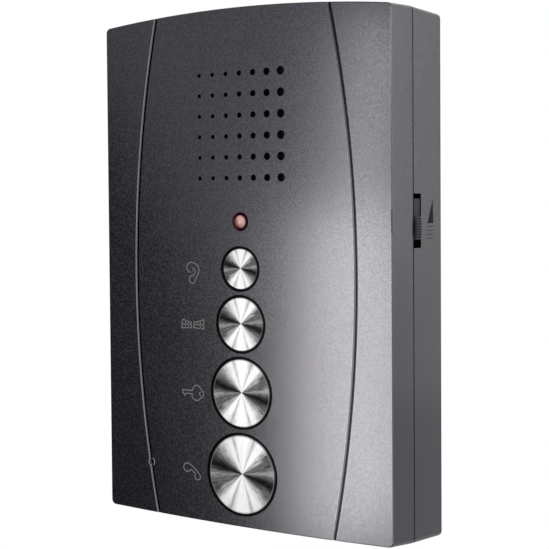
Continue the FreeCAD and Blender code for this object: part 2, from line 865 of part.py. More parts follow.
def speaker_coil():
    """The voice coil on its former."""
    outer = coil_inner + coil_thickness
    return tube(0, speaker_z, y_coil_front, y_top_plate + pole_plate, outer, coil_inner)


def speaker_spider():
    """The corrugated disc that centres the coil in the basket."""
    inner = coil_inner + coil_thickness
    rear = y_basket_rear
    outer = magnet_seat_radius - 2 * frame_sheet
    pitch = (outer - inner) / spider_folds
    front_points = []
    rear_points = []
    for step in range(spider_folds + 1):
        lift = spider_rise if step % 2 else 0.0
        radius = inner + step * pitch
        front_points.append((radius, rear - cone_sheet - lift))
        rear_points.append((radius, rear - lift))
    return turned(front_points + rear_points[::-1], 0, speaker_z)


def speaker_top_plate():
    """The front pole plate on the back of the basket."""
    return tube(0, speaker_z, y_top_plate, y_magnet, magnet_seat_radius, gap_outer)


def speaker_magnet():
    """The ferrite ring magnet."""
    return tube(0, speaker_z, y_magnet, y_yoke, magnet_radius, magnet_bore_radius)


def speaker_yoke():
    """The rear plate with its centre pole."""
    plate = rod(0, speaker_z, y_yoke, y_yoke + pole_plate, magnet_seat_radius)
    return joined([plate, rod(0, speaker_z, y_top_plate, y_yoke + pole_plate, pole_radius)])


strip_z = speaker_z - speaker_radius + flange_width / 2 - strip_thickness / 2


def speaker_terminals():
    """The insulating strip on the basket's flange with two solder lugs."""
    strip_end = y_flange_rear + strip_height
    half = strip_width / 2
    strip = block(-half, half, y_flange_rear, strip_end, strip_z, strip_z + strip_thickness)
    solids = [strip]
    for sign in (-1, 1):
        x = sign * lead_spacing
        solids.append(block(x - lug_width / 2, x + lug_width / 2, strip_end - lug_length / 2,
                            strip_end + lug_length / 2, strip_z - lug_thickness, strip_z))
    return group(solids)


def clamp_local(x0, x1, y0, y1, half, place):
    """A box by radius, depth and half width, turned to a clamp's angle."""
    x, z, angle = place
    piece = block(x0, x1, y0, y1, -half, half)
    piece.rotate(Vector(0, 0, 0), Vector(0, 1, 0), -angle)
    piece.translate(Vector(0, 0, speaker_z))
    return piece


def speaker_clamps():
    """Three cranked steel clamps that hold the flange down."""
    clamps = []
    boss_end = y_cover_floor + clamp_boss_height
    inner = speaker_radius - clamp_grip
    outer = speaker_radius + clamp_from_rim + clamp_boss_radius
    for place in clamp_places():
        plate = clamp_local(inner, outer, boss_end, boss_end + clamp_sheet, clamp_width / 2, place)
        leg = clamp_local(inner, inner + clamp_sheet, y_flange_rear, boss_end + clamp_sheet,
                          clamp_width / 2, place)
        hole = rod(place[0], place[1], boss_end - 1, boss_end + clamp_sheet + 1,
                   board_screw_radius + pilot_clearance)
        clamps.append(joined([plate, leg]).cut(hole))
    return group(clamps)


def pan_screw(x, z, y_seat, length):
    """A pan-head screw whose head lies behind its seat."""
    head = rod(x, z, y_seat, y_seat + board_screw_head_height, board_screw_head_radius)
    end = y_seat + board_screw_head_height
    shank = rod(x, z, y_seat - length, end, board_screw_radius)
    slot = block(x - board_screw_head_radius, x + board_screw_head_radius,
                 end - driver_slot_depth, end + 1, z - driver_slot_width / 2, z + driver_slot_width / 2)
    return joined([head, shank]).cut(slot)


def speaker_screws():
    """The three screws of the speaker's clamps."""
    seat = y_cover_floor + clamp_boss_height + clamp_sheet
    return group([pan_screw(x, z, seat, clamp_boss_height) for x, z, angle in clamp_places()])


# Microphone

y_boot_rear = y_cover_floor + boot_height
y_microphone = y_boot_rear - microphone_height


def microphone():
    """The capsule with its two pins down to the board."""
    capsule = rod(microphone_x, microphone_z, y_microphone, y_boot_rear, microphone_radius)
    pins = []
    for sign in (-1, 1):
        pins.append(rod(microphone_x + sign * microphone_pin_spacing / 2, microphone_z,
                        y_boot_rear, y_board_rear, pin_radius))
    return joined([capsule] + pins)


def microphone_boot():
    """The rubber boot round the capsule, open towards its hole in the cover."""
    boot = rod(microphone_x, microphone_z, y_cover_floor, y_boot_rear, microphone_radius + boot_wall)
    boot = boot.cut(rod(microphone_x, microphone_z, y_microphone, y_boot_rear + 1, microphone_radius))
    return boot.cut(rod(microphone_x, microphone_z, y_cover_floor - 1, y_microphone + 1,
                        microphone_hole_radius + fit_clearance))


# Circuit board

def main_board():
    """The board, with its screw holes and its bay round the speaker."""
    board = block(-board_half_width, board_half_width, y_board_front, y_board_rear,
                  board_bottom_z, board_top_z)
    cuts = [rod(0, speaker_z, y_board_front - 1, y_board_rear + 1, speaker_radius + board_speaker_gap)]
    screw_hole = board_screw_radius + fit_clearance
    for sign, x, z in post_places:
        cuts.append(rod(sign * x, z, y_board_front - 1, y_board_rear + 1, screw_hole))
    cuts += lead_holes(0, lamp_z, lamp_lead_spacing, lamp_lead_radius + pilot_clearance)
    cuts += lead_holes(microphone_x, microphone_z, microphone_pin_spacing, pin_radius + pilot_clearance)
    return board.cut(cuts)


def board_screws():
    """The four screws that hold the board to the cover's posts."""
    length = board_screw_length + board_thickness - fit_clearance
    return group([pan_screw(sign * x, z, y_board_rear, length) for sign, x, z in post_places])


# Volume slider

y_grip_front = y_parting + grip_side_gap
y_grip_rear = y_parting + volume_slot_width - grip_side_gap


def volume_knob():
    """The crowned, ribbed grip with its flush tab, shield plate and lever socket."""
    low = grip_z - grip_length / 2
    high = grip_z + grip_length / 2
    outer = half_width + grip_proud
    grip = block(shield_x - shield_thickness, outer, y_grip_front, y_grip_rear, low, high)
    crown = ((grip_length / 2) ** 2 + grip_crown ** 2) / (2 * grip_crown)
    grip = grip.common(rod(outer - crown, grip_z, y_grip_front, y_grip_rear, crown))
    pitch = grip_length / grip_ribs
    for index in range(grip_ribs - 1):
        z = low + (index + 1) * pitch
        lean = math.asin((z - grip_z) / crown)
        floor = outer - crown * (1 - math.cos(lean)) - grip_rib_depth
        grip = grip.cut(block(floor, outer + 1, y_grip_front - 1, y_grip_rear + 1,
                              z - pitch / 4, z + pitch / 4))
    tab = block(shield_x - shield_thickness, half_width - tab_sink, y_parting + tab_front_gap,
                y_grip_rear, high, high + tab_length)
    shield = block(shield_x - shield_thickness, shield_x, y_grip_front - shield_overlap,
                   y_grip_rear + shield_overlap, low, high + tab_length)
    half = socket_width / 2
    socket = block(pot_x + lever_play, shield_x, y_volume - half, y_volume + half,
                   grip_z - lever_width / 2 - pot_sheet, grip_z + lever_width / 2 + pot_sheet)
    knob = joined([grip, tab, shield, socket])
    return knob.cut(block(pot_x - 1, shield_x - shield_thickness - socket_play,
                          y_volume - lever_thickness / 2 - socket_play,
                          y_volume + lever_thickness / 2 + socket_play,
                          grip_z - lever_width / 2 - socket_play, grip_z + lever_width / 2 + socket_play))


def volume_track():
    """The slide resistor's metal body on the board, with its slot."""
    inner = pot_x - pot_width
    y_rear = 2 * y_volume - y_board_rear
    low = volume_z - pot_length / 2
    high = volume_z + pot_length / 2
    body = block(inner, pot_x, y_board_rear, y_rear, low, high)
    body = body.cut(block(inner + pot_sheet, pot_x - pot_sheet, y_board_rear + pot_sheet,
                          y_rear - pot_sheet, low + pot_sheet, high - pot_sheet))
    travel = volume_slot_length - grip_length - tab_length - 2 * volume_end_gap
    reach = (travel + lever_width) / 2 + lever_play
    middle = volume_z - tab_length / 2
    return body.cut(block(pot_x - pot_sheet - 1, pot_x + 1, y_volume - lever_thickness / 2 - lever_play,
                          y_volume + lever_thickness / 2 + lever_play, middle - reach, middle + reach))


def volume_carriage():
    """The wiper carriage inside the slide resistor, with its lever."""
    inner = pot_x - pot_width + pot_sheet + carriage_play
    outer = pot_x - pot_sheet - carriage_play
    half_depth = y_volume - y_board_rear - pot_sheet - carriage_play
    slider = block(inner, outer, y_volume - half_depth, y_volume + half_depth,
                   grip_z - carriage_length / 2, grip_z + carriage_length / 2)
    lever = block(inner, shield_x - shield_thickness - 2 * socket_play, y_volume - lever_thickness / 2,
                  y_volume + lever_thickness / 2, grip_z - lever_width / 2, grip_z + lever_width / 2)
    return joined([slider, lever])


# Terminal block

def terminal_centres():
    """Middles of the terminals, across the casing."""
    first = -(terminal_ways - 1) * terminal_pitch / 2
    return [first + index * terminal_pitch for index in range(terminal_ways)]


y_cell = y_board_rear + terminal_floor
terminal_low = terminal_z - terminal_depth / 2


def terminal_block():
    """The moulded block, with a cell and a screw hole for each wire."""
    half = terminal_ways * terminal_pitch / 2
    body = block(-half, half, y_board_rear, y_board_rear + terminal_height,
                 terminal_low, terminal_low + terminal_depth)
    cuts = []
    for x in terminal_centres():
        cuts.append(block(x - terminal_cell_width / 2, x + terminal_cell_width / 2,
                          y_cell, y_cell + terminal_cell_height,
                          terminal_low - 1, terminal_low + terminal_cell_depth))
        cuts.append(rod(x, terminal_z, y_cell, y_board_rear + terminal_height + 1,
                        terminal_head_radius + cage_play))
    return body.cut(cuts)


def terminal_cages():
    """The brass cages that clamp the wires."""
    cages = []
    for x in terminal_centres():
        half = terminal_cell_width / 2 - cage_play
        front = terminal_low + cage_play + 1
        rear = terminal_low + terminal_cell_depth - cage_play
        cage = block(x - half, x + half, y_cell, y_cell + terminal_cell_height - cage_play, front, rear)
        hollow = block(x - half + cage_sheet, x + half - cage_sheet, y_cell + cage_sheet,
                       y_cell + terminal_cell_height - cage_play - cage_sheet, front - 1, rear + 1)
        thread = rod(x, terminal_z, y_cell + cage_sheet, y_cell + terminal_cell_height + 1,
                     terminal_screw_radius + pilot_clearance)
        cages.append(cage.cut([hollow, thread]))
    return group(cages)


def terminal_screws():
    """The clamping screws of the terminals."""
    screws = []
    cage_top = y_cell + terminal_cell_height - cage_play
    for x in terminal_centres():
        head_end = cage_top + terminal_head_height
        head = rod(x, terminal_z, cage_top, head_end, terminal_head_radius)
        shank = rod(x, terminal_z, cage_top - cage_sheet - 1, head_end, terminal_screw_radius)
        slot = block(x - terminal_head_radius, x + terminal_head_radius, head_end - driver_slot_depth,
                     head_end + 1, terminal_z - driver_slot_width / 2, terminal_z + driver_slot_width / 2)
        screws.append(joined([head, shank]).cut(slot))
    return group(screws)


# Small parts on the back of the board

chip_z = terminal_z + terminal_depth / 2 + row_spacing + chip_width / 2


def chip_socket():
    """The frame-shaped socket of the amplifier chip."""
    half_x = chip_length / 2
    half_z = chip_width / 2 + socket_margin
    socket = block(-half_x, half_x, y_board_rear, y_board_rear + socket_height,
                   chip_z - half_z, chip_z + half_z)
    inner = chip_width / 2 - socket_margin
    return socket.cut(block(-half_x + 2, half_x - 2, y_board_rear - 1, y_board_rear + socket_height + 1,
                            chip_z - inner, chip_z + inner))


def amplifier_chip():
    """The amplifier chip with its two rows of legs on the socket."""
    half_x = chip_length / 2
    base = y_board_rear + socket_height + chip_leg_width
    body = block(-half_x, half_x, base, base + chip_height,
                 chip_z - chip_width / 2, chip_z + chip_width / 2)
    legs = []
    for index in range(chip_legs):
        x = (index - (chip_legs - 1) / 2) * chip_leg_pitch
        for sign in (-1, 1):
            z = chip_z + sign * (chip_width / 2 + chip_leg_width / 2)
            legs.append(block(x - chip_leg_width, x + chip_leg_width, base - chip_leg_width,
                              base + chip_height / 2, z - chip_leg_width / 2, z + chip_leg_width / 2))
    return joined([body] + legs)


def electrolytic_capacitors():
    """Four round capacitors that stand on the board."""
    cans = []
    for column in (-part_columns, 1 - part_columns, part_columns - 1, part_columns):
        x = column * part_spacing
        z = chip_z if abs(column) == part_columns else chip_z + row_spacing / 2
        end = y_board_rear + capacitor_height
        profile = [(0, y_board_rear), (capacitor_radius, y_board_rear),
                   (capacitor_radius, end - capacitor_bevel),
                   (capacitor_radius - capacitor_bevel, end), (0, end)]
        cans.append(turned(profile, x, z))
    return group(cans)


def film_capacitors():
    """Five small box capacitors in a row."""
    boxes = []
    for index in range(-2, 3):
        x = index * part_spacing
        z = chip_z + 2 * row_spacing
        boxes.append(block(x - film_length / 2, x + film_length / 2, y_board_rear,
                           y_board_rear + film_height, z - film_width / 2, z + film_width / 2))
    return group(boxes)


def axial_part(x, z, radius, length):
    """A small round part lying on the board, with its wires bent down to it."""
    y = y_board_rear + radius
    body = Part.makeCylinder(radius, length, Vector(x - length / 2, y, z), Vector(1, 0, 0))
    reach = length / 2 + wire_bend
    wire = Part.makeCylinder(wire_radius, 2 * reach, Vector(x - reach, y, z), Vector(1, 0, 0))
    half = wire_radius / 2
    legs = []
    for end in (x - reach + wire_radius, x + reach - wire_radius):
        legs.append(block(end - half, end + half, y_board_rear, y, z - half, z + half))
    return joined([body, wire] + legs)


def resistors():
    """Ten resistors in two rows."""
    z = terminal_z + terminal_depth / 2 + 2 * resistor_radius
    return group([axial_part(index * part_spacing, row, resistor_radius, resistor_length)
                  for row in (z, z + 3 * resistor_radius) for index in range(-2, 3)])


def diodes():
    """Four diodes beside the terminal block."""
    places = []
    for sign in (-1, 1):
        for z in (terminal_z, terminal_z - row_spacing):
            places.append((sign * diode_column * part_spacing, z))
    return group([axial_part(x, z, diode_radius, diode_length) for x, z in places])


def transistors():
    """Three small transistors on their legs."""
    pieces = []
    for index in (-1, 0, 1):
        x = index * part_spacing
        z = chip_z + 3 * row_spacing
        base = y_board_rear + transistor_leg
        body = rod(x, z, base, base + transistor_height, transistor_radius)
        body = body.cut(block(x - 4, x + 4, base - 1, base + transistor_height + 1,
                              z + transistor_radius / 2, z + 4))
        legs = [rod(x + step * lamp_lead_spacing / 2, z, y_board_rear, base + 1, wire_radius)
                for step in (-1, 0, 1)]
        pieces.append(joined([body] + legs))
    return group(pieces)


def trimmers():
    """Two preset resistors for the speech levels."""
    pieces = []
    half = trimmer_width / 2
    for sign in (-1, 1):
        x = sign * part_columns * part_spacing
        z = chip_z + 2 * row_spacing
        end = y_board_rear + trimmer_height
        body = block(x - half, x + half, y_board_rear, end, z - half, z + half)
        rotor = rod(x, z, end - trimmer_rotor_height, end + trimmer_rotor_height, trimmer_rotor_radius)
        slot = block(x - trimmer_rotor_radius, x + trimmer_rotor_radius, end, end + 1,
                     z - driver_slot_width / 2, z + driver_slot_width / 2)
        pieces.append(joined([body, rotor]).cut(slot))
    return group(pieces)


# Speaker lead and its connector

connector_x = -2 * part_spacing
connector_z = chip_z + 3 * row_spacing
y_plug_front = y_board_rear + connector_wall
y_plug_rear = y_board_rear + connector_height + plug_stand


def speaker_connector():
    """The open box on the board that takes the plug."""
    half_x = connector_width / 2
    half_z = connector_depth / 2
    end = y_board_rear + connector_height
    body = block(connector_x - half_x, connector_x + half_x, y_board_rear, end,
                 connector_z - half_z, connector_z + half_z)
    return body.cut(block(connector_x - half_x + connector_wall, connector_x + half_x - connector_wall,
                          y_plug_front, end + 1, connector_z - half_z + connector_wall,
                          connector_z + half_z - connector_wall))


def speaker_plug():
    """The plug on the end of the speaker lead."""
    half_x = connector_width / 2 - connector_wall - connector_play
    half_z = connector_depth / 2 - connector_wall - connector_play
    return block(connector_x - half_x, connector_x + half_x, y_plug_front, y_plug_rear,
                 connector_z - half_z, connector_z + half_z)


def wire_path(points):
    """Straight runs joined by tangent arcs, each as large as its runs allow."""
    edges = []
    start = points[0]
    for before, corner, after in zip(points, points[1:], points[2:]):
        back = (before - corner).normalize()
        ahead = (after - corner).normalize()
        turn = math.pi - back.getAngle(ahead)
        run = min((before - corner).Length, (after - corner).Length)
        cut = 0.45 * run
        radius = cut / math.tan(turn / 2)
        print("lead radius", round(radius, 2))
        first = corner + back * cut
        last = corner + ahead * cut
        towards = (back + ahead).normalize()
        middle = corner + towards * (radius / math.cos(turn / 2) - radius)
        edges.append(Part.LineSegment(start, first).toShape())
        edges.append(Part.Arc(first, middle, last).toShape())
        start = last
    edges.append(Part.LineSegment(start, points[-1]).toShape())
    return Part.Wire(edges)


def speaker_lead():
    """Two wires from the speaker's lugs to the plug, behind the board."""
    wires = []
    lug_end = y_flange_rear + strip_height + lug_length / 2
    y_back = y_housing_floor - lead_back_gap
    lug_z = strip_z - lug_thickness / 2
    for sign in (-1, 1):
        x0 = sign * lead_spacing
        x1 = connector_x + sign * lead_spacing / 2
        points = [Vector(x0, lug_end, lug_z), Vector(x0, y_back, lug_z),
                  Vector(x1, y_back, connector_z), Vector(x1, y_plug_rear, connector_z)]
        path = wire_path(points)
        section = Part.Wire(Part.makeCircle(lead_radius, points[0], Vector(0, 1, 0)))
        wires.append(path.makePipeShell([section], True, False))
    return group(wires)


# The pieces of the intercom

nodes = {
    "front_cover": front_cover(),
    "rear_housing": rear_housing(),
    "cover_screws": cover_screws(),
    "led_lamp": lamp(),
    "led_spacer": lamp_spacer(),
    "speaker_felt": speaker_felt(),
    "speaker_gasket": speaker_gasket(),
    "speaker_frame": speaker_frame(),
    "speaker_cone": speaker_cone(),
    "speaker_dust_cap": speaker_dust_cap(),
    "speaker_coil": speaker_coil(),
    "speaker_spider": speaker_spider(),
    "speaker_top_plate": speaker_top_plate(),
    "speaker_magnet": speaker_magnet(),
    "speaker_yoke": speaker_yoke(),
    "speaker_terminals": speaker_terminals(),
    "speaker_clamps": speaker_clamps(),
    "speaker_screws": speaker_screws(),
    "microphone": microphone(),
    "microphone_boot": microphone_boot(),
    "main_board": main_board(),
    "board_screws": board_screws(),
    "volume_knob": volume_knob(),
    "volume_track": volume_track(),
    "volume_carriage": volume_carriage(),
    "terminal_block": terminal_block(),
    "terminal_cages": terminal_cages(),
    "terminal_screws": terminal_screws(),
    "chip_socket": chip_socket(),
    "amplifier_chip": amplifier_chip(),
    "electrolytic_capacitors": electrolytic_capacitors(),
    "film_capacitors": film_capacitors(),
    "resistors": resistors(),
    "diodes": diodes(),
    "transistors": transistors(),
    "trimmers": trimmers(),
    "speaker_connector": speaker_connector(),
    "speaker_plug": speaker_plug(),
    "speaker_lead": speaker_lead(),
}
for name, disc_radius, z in zip(button_names, button_disc_radii, button_heights):
    nodes[name + "_button"] = button_body(z, disc_radius)
    nodes[name + "_disc"] = button_disc(z, disc_radius)
    nodes[name + "_switch"] = switch_housing(z)
    nodes[name + "_plunger"] = plunger(z)
    nodes[name + "_spring"] = switch_spring(z)

os.makedirs("parts", exist_ok=True)
for node, shape in nodes.items():
    shape.exportStep(os.path.join("parts", node + ".step"))
    box = shape.BoundBox
    print(node, len(shape.Solids), shape.isValid(), round(shape.Volume, 1),
          [round(v, 2) for v in (box.XMin, box.XMax, box.YMin, box.YMax, box.ZMin, box.ZMax)])
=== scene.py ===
"""Looks of the hands-free wall intercom station: finishes, signs, springs, light and camera."""

import logging
import math
import sys
from dataclasses import dataclass
from enum import Enum
from typing import Callable, Sequence, Union

import bpy
from mathutils import Matrix, Vector

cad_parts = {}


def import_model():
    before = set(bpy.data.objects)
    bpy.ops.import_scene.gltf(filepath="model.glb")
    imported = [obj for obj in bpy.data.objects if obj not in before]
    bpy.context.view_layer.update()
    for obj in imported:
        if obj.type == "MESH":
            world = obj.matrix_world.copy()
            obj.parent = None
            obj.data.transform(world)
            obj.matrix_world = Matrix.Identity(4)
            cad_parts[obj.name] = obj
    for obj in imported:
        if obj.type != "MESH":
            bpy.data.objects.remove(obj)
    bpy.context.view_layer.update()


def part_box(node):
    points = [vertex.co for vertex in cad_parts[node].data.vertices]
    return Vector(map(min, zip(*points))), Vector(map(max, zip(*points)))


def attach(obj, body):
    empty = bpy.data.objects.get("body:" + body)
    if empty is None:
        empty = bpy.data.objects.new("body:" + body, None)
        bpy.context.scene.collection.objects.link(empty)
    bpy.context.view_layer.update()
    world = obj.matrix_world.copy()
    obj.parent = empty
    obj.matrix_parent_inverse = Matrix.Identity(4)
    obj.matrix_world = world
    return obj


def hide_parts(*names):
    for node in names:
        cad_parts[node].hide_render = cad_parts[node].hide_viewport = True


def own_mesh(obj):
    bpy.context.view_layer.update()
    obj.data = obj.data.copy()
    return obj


log = logging.getLogger("intercom")

Colour = tuple[float, float, float]
Span = tuple[float, float]
Spot = tuple[float, float, float]
Points = Sequence[Span]
Socket = bpy.types.NodeSocket
Material = bpy.types.Material

MM = 0.001
TOUCHING = 1e-6
WHITE: Colour = (1.0, 1.0, 1.0)
BLACK: Colour = (0.0, 0.0, 0.0)


def shade(red: float, green: float, blue: float) -> Colour:
    """A linear colour from the 0 to 255 values of a colour picker.

    Args:
        red: Red value.
        green: Green value.
        blue: Blue value.

    Returns:
        The linear red, green and blue.
    """

    def linear(value: float) -> float:
        """One channel made linear."""
        share = value / 255
        return share / 12.92 if share <= 0.04045 else ((share + 0.055) / 1.055) ** 2.4

    return linear(red), linear(green), linear(blue)


def operator(operation: str, swapped: bool = False) -> Callable[["Level", "Number"], "Level"]:
    """Makes an arithmetic operator that adds a Math node.

    Args:
        operation: The node's operation.
        swapped: Whether the level is the second number.

    Returns:
        The operator.
    """

    def add_node(level: "Level", other: "Number") -> "Level":
        """Adds the node for a level and another number."""
        pair = (other, level) if swapped else (level, other)
        return level.graph.math(operation, *pair)

    return add_node


class Level:
    """A number that changes over a surface, used in plain arithmetic."""

    __add__, __radd__ = operator("ADD"), operator("ADD", True)
    __sub__, __rsub__ = operator("SUBTRACT"), operator("SUBTRACT", True)
    __mul__, __rmul__ = operator("MULTIPLY"), operator("MULTIPLY", True)
    __truediv__, __rtruediv__ = operator("DIVIDE"), operator("DIVIDE", True)
    __mod__, __rmod__ = operator("FLOORED_MODULO"), operator("FLOORED_MODULO", True)
    __pow__, __rpow__ = operator("POWER"), operator("POWER", True)
    __gt__, __lt__ = operator("GREATER_THAN"), operator("LESS_THAN")

    def __init__(self, graph: "Graph", socket: Socket) -> None:
        """Wraps a socket of a graph."""
        self.graph = graph
        self.socket = socket

    def __abs__(self) -> "Level":
        """Size without sign."""
        return self.graph.math("ABSOLUTE", self)

    def rise(self, low: float, high: float) -> "Level":
        """A smooth step from 0 at the low value to 1 at the high one."""
        inputs = {0: self, 1: low, 2: high, 3: 0.0, 4: 1.0}
        return self.graph.level("MapRange", inputs, interpolation_type="SMOOTHSTEP")


Number = Union[float, Level]
Tint = Union[Colour, Socket]


class Graph:
    """The nodes of one material or of the world."""

    def __init__(self, owner: Union[Material, bpy.types.World]) -> None:
        """Empties the nodes.

        Args:
            owner: The material or world.
        """
        self.owner = owner
        owner.use_nodes = True
        owner.node_tree.nodes.clear()

    def node(self, kind: str, inputs: dict, **settings: object) -> bpy.types.Node:
        """Adds a node, with its settings first.

        Args:
            kind: The node's type, without the word ShaderNode.
            inputs: Values, levels or sockets by input name or number.
            settings: Its own settings; "stops" are a ramp's (place, grey) pairs.

        Returns:
            The node.
        """
        tree = self.owner.node_tree
        made = tree.nodes.new("ShaderNode" + kind)
        for key, value in settings.items():
            if key == "stops":
                self.set_stops(made.color_ramp, value)
            else:
                setattr(made, key, value)
        for key, value in inputs.items():
            source = value.socket if isinstance(value, Level) else value
            if isinstance(source, Socket):
                tree.links.new(source, made.inputs[key])
            elif made.inputs[key].type == "RGBA":
                made.inputs[key].default_value = (*source, 1.0)
            else:
                made.inputs[key].default_value = source
        return made

    @staticmethod
    def set_stops(ramp: bpy.types.ColorRamp, stops: Points) -> None:
        """Gives a ramp its grey stops.

        Args:
            ramp: The ramp.
            stops: Pairs of place and grey.
        """
        while len(ramp.elements) > 1:
            ramp.elements.remove(ramp.elements[-1])
        for index, (place, grey) in enumerate(stops):
            element = ramp.elements[0] if index == 0 else ramp.elements.new(place)
            element.position = place
            element.color = (grey, grey, grey, 1.0)

    def level(self, kind: str, inputs: dict, **settings: object) -> Level:
        """The first output of a new node."""
        return Level(self, self.node(kind, inputs, **settings).outputs[0])

    def math(self, operation: str, *values: Number) -> Level:
        """What a Math node makes of its inputs, in order."""
        return self.level("Math", dict(enumerate(values)), operation=operation)

    def mix(self, share: Number, first: Tint, second: Tint) -> Socket:
        """The first colour where the share is 0, and the second where it is 1."""
        inputs = {0: share, 6: first, 7: second}
        return self.node("Mix", inputs, data_type="RGBA").outputs[2]

    def scaled(self, vector: Tint, factor: Number) -> Socket:
        """A colour or vector times a number."""
        inputs = {0: vector, "Scale": factor}
        return self.node("VectorMath", inputs, operation="SCALE").outputs[0]

    def combined(self, x: Number, y: Number, z: Number) -> Socket:
        """A vector from three numbers."""
        return self.node("CombineXYZ", {0: x, 1: y, 2: z}).outputs[0]

    def noise(self, vector: Socket, scale: float, detail: float = 2.0) -> Level:
        """Cloudy noise from 0 to 1, at so many clouds per unit and layers of finer clouds."""
        return self.level("TexNoise", {"Vector": vector, "Scale": scale, "Detail": detail})


class Place(Graph):
    """A new material's nodes, with the point being painted in millimetres in the part's frame."""

    def __init__(self, name: str) -> None:
        """Starts the material and splits its Object coordinates.

        Args:
            name: The material's name.
        """
        super().__init__(bpy.data.materials.new(name))
        self.vector = self.scaled(self.node("TexCoord", {}).outputs["Object"], 1 / MM)
        parts = self.node("SeparateXYZ", {0: self.vector}).outputs
        self.x, self.y, self.z = (Level(self, part) for part in parts)

    def radius(self, x: float, z: float) -> Level:
        """Distance from a line along Y."""
        across, up = self.x - x, self.z - z
        return (across * across + up * up) ** 0.5

    def cloud(self, scale: float, detail: float = 2.0) -> Level:
        """Cloudy noise at the point."""
        return self.noise(self.vector, scale, detail)


class Relief(Enum):
    """How a surface is textured, each kind at the size that its finish gives."""

    GRAIN = "grain"
    PORES = "pores"
    SPANGLE = "spangle"
    WEAVE = "weave"
    WINDING = "winding"
    FIBRE = "fibre"
    CIRCLES = "circles"

    def height(self, place: Place, size: float) -> Level:
        """The texture's height.

        Args:
            place: The point being painted.
            size: The pattern's size in millimetres.

        Returns:
            A height between 0 and 1.
        """

        def wave(along: Level) -> Level:
            """One wave to each size."""
            return place.math("SINE", along * (2 * math.pi / size))

        if self in (Relief.PORES, Relief.SPANGLE):
            cells = place.node("TexVoronoi", {"Vector": place.vector, "Scale": 1 / size})
            return Level(place, cells.outputs["Distance" if self is Relief.PORES else "Color"])
        if self is Relief.WEAVE:
            return wave(place.x) * wave(place.z) * 0.5 + 0.5
        if self is Relief.WINDING:
            return wave(place.y) * 0.5 + 0.5
        if self is Relief.FIBRE:
            stretched = place.combined(place.x * 0.25, place.y, place.z * 0.25)
            return place.noise(stretched, 4 / size, 3.0)
        if self is Relief.CIRCLES:
            return place.noise(place.combined(place.radius(0.0, 0.0), 0.0, 0.0), 1 / size, 3.0)
        return place.cloud(1 / size)


@dataclass
class Surface:
    """What a finish gives at one point: colour, gloss, metal and height in millimetres."""

    colour: Tint
    roughness: Number
    metallic: Number
    height: Number


@dataclass(frozen=True, kw_only=True)
class Coating:
    """What is the same all over a finish: its mirroring, the tint of that, and its clear coat."""

    specular: float = 0.5
    gloss_tint: Colour = WHITE
    coat: float = 0.0
    coat_roughness: float = 0.12


@dataclass(frozen=True)
class Finish(Coating):
    """A plain finish: one colour, picked in 0 to 255, its gloss and a texture in millimetres."""

    picked: Colour
    roughness: float
    metallic: float = 0.0
    relief: Relief = Relief.GRAIN
    size: float = 0.5
    depth: float = 0.004
    mottle: float = 0.08
    drift_scale: float = 0.12
    gloss_grain: float = 0.08
    gloss_drift: float = 0.06

    def surface(self, place: Place) -> Surface:
        """The finish at the point being painted.

        Args:
            place: The point.

        Returns:
            The surface there.
        """
        height = self.relief.height(place, self.size)
        drift = place.cloud(self.drift_scale)
        level = (height - 0.5) * self.mottle + (drift - 0.5) * self.mottle + 1
        gloss = (height - 0.5) * self.gloss_grain + (drift - 0.5) * self.gloss_drift
        return Surface(place.scaled(shade(*self.picked), level), gloss + self.roughness,
                       self.metallic, height * self.depth)


@dataclass(frozen=True)
class Split(Coating):
    """Two finishes on one node, parted by a rule of place."""

    first: Union[Finish, "Split"]
    second: Union[Finish, "Split"]
    where: Callable[[Place], Level]

    def surface(self, place: Place) -> Surface:
        """The second finish where the rule gives 1, and the first elsewhere.

        Args:
            place: The point.

        Returns:
            The surface there.
        """
        share = self.where(place)
        rest = 1 - share
        one, two = self.first.surface(place), self.second.surface(place)
        metal = one.metallic
        if isinstance(metal, Level) or metal != two.metallic:
            metal = rest * metal + share * two.metallic
        return Surface(place.mix(share, one.colour, two.colour),
                       rest * one.roughness + share * two.roughness, metal,
                       rest * one.height + share * two.height)


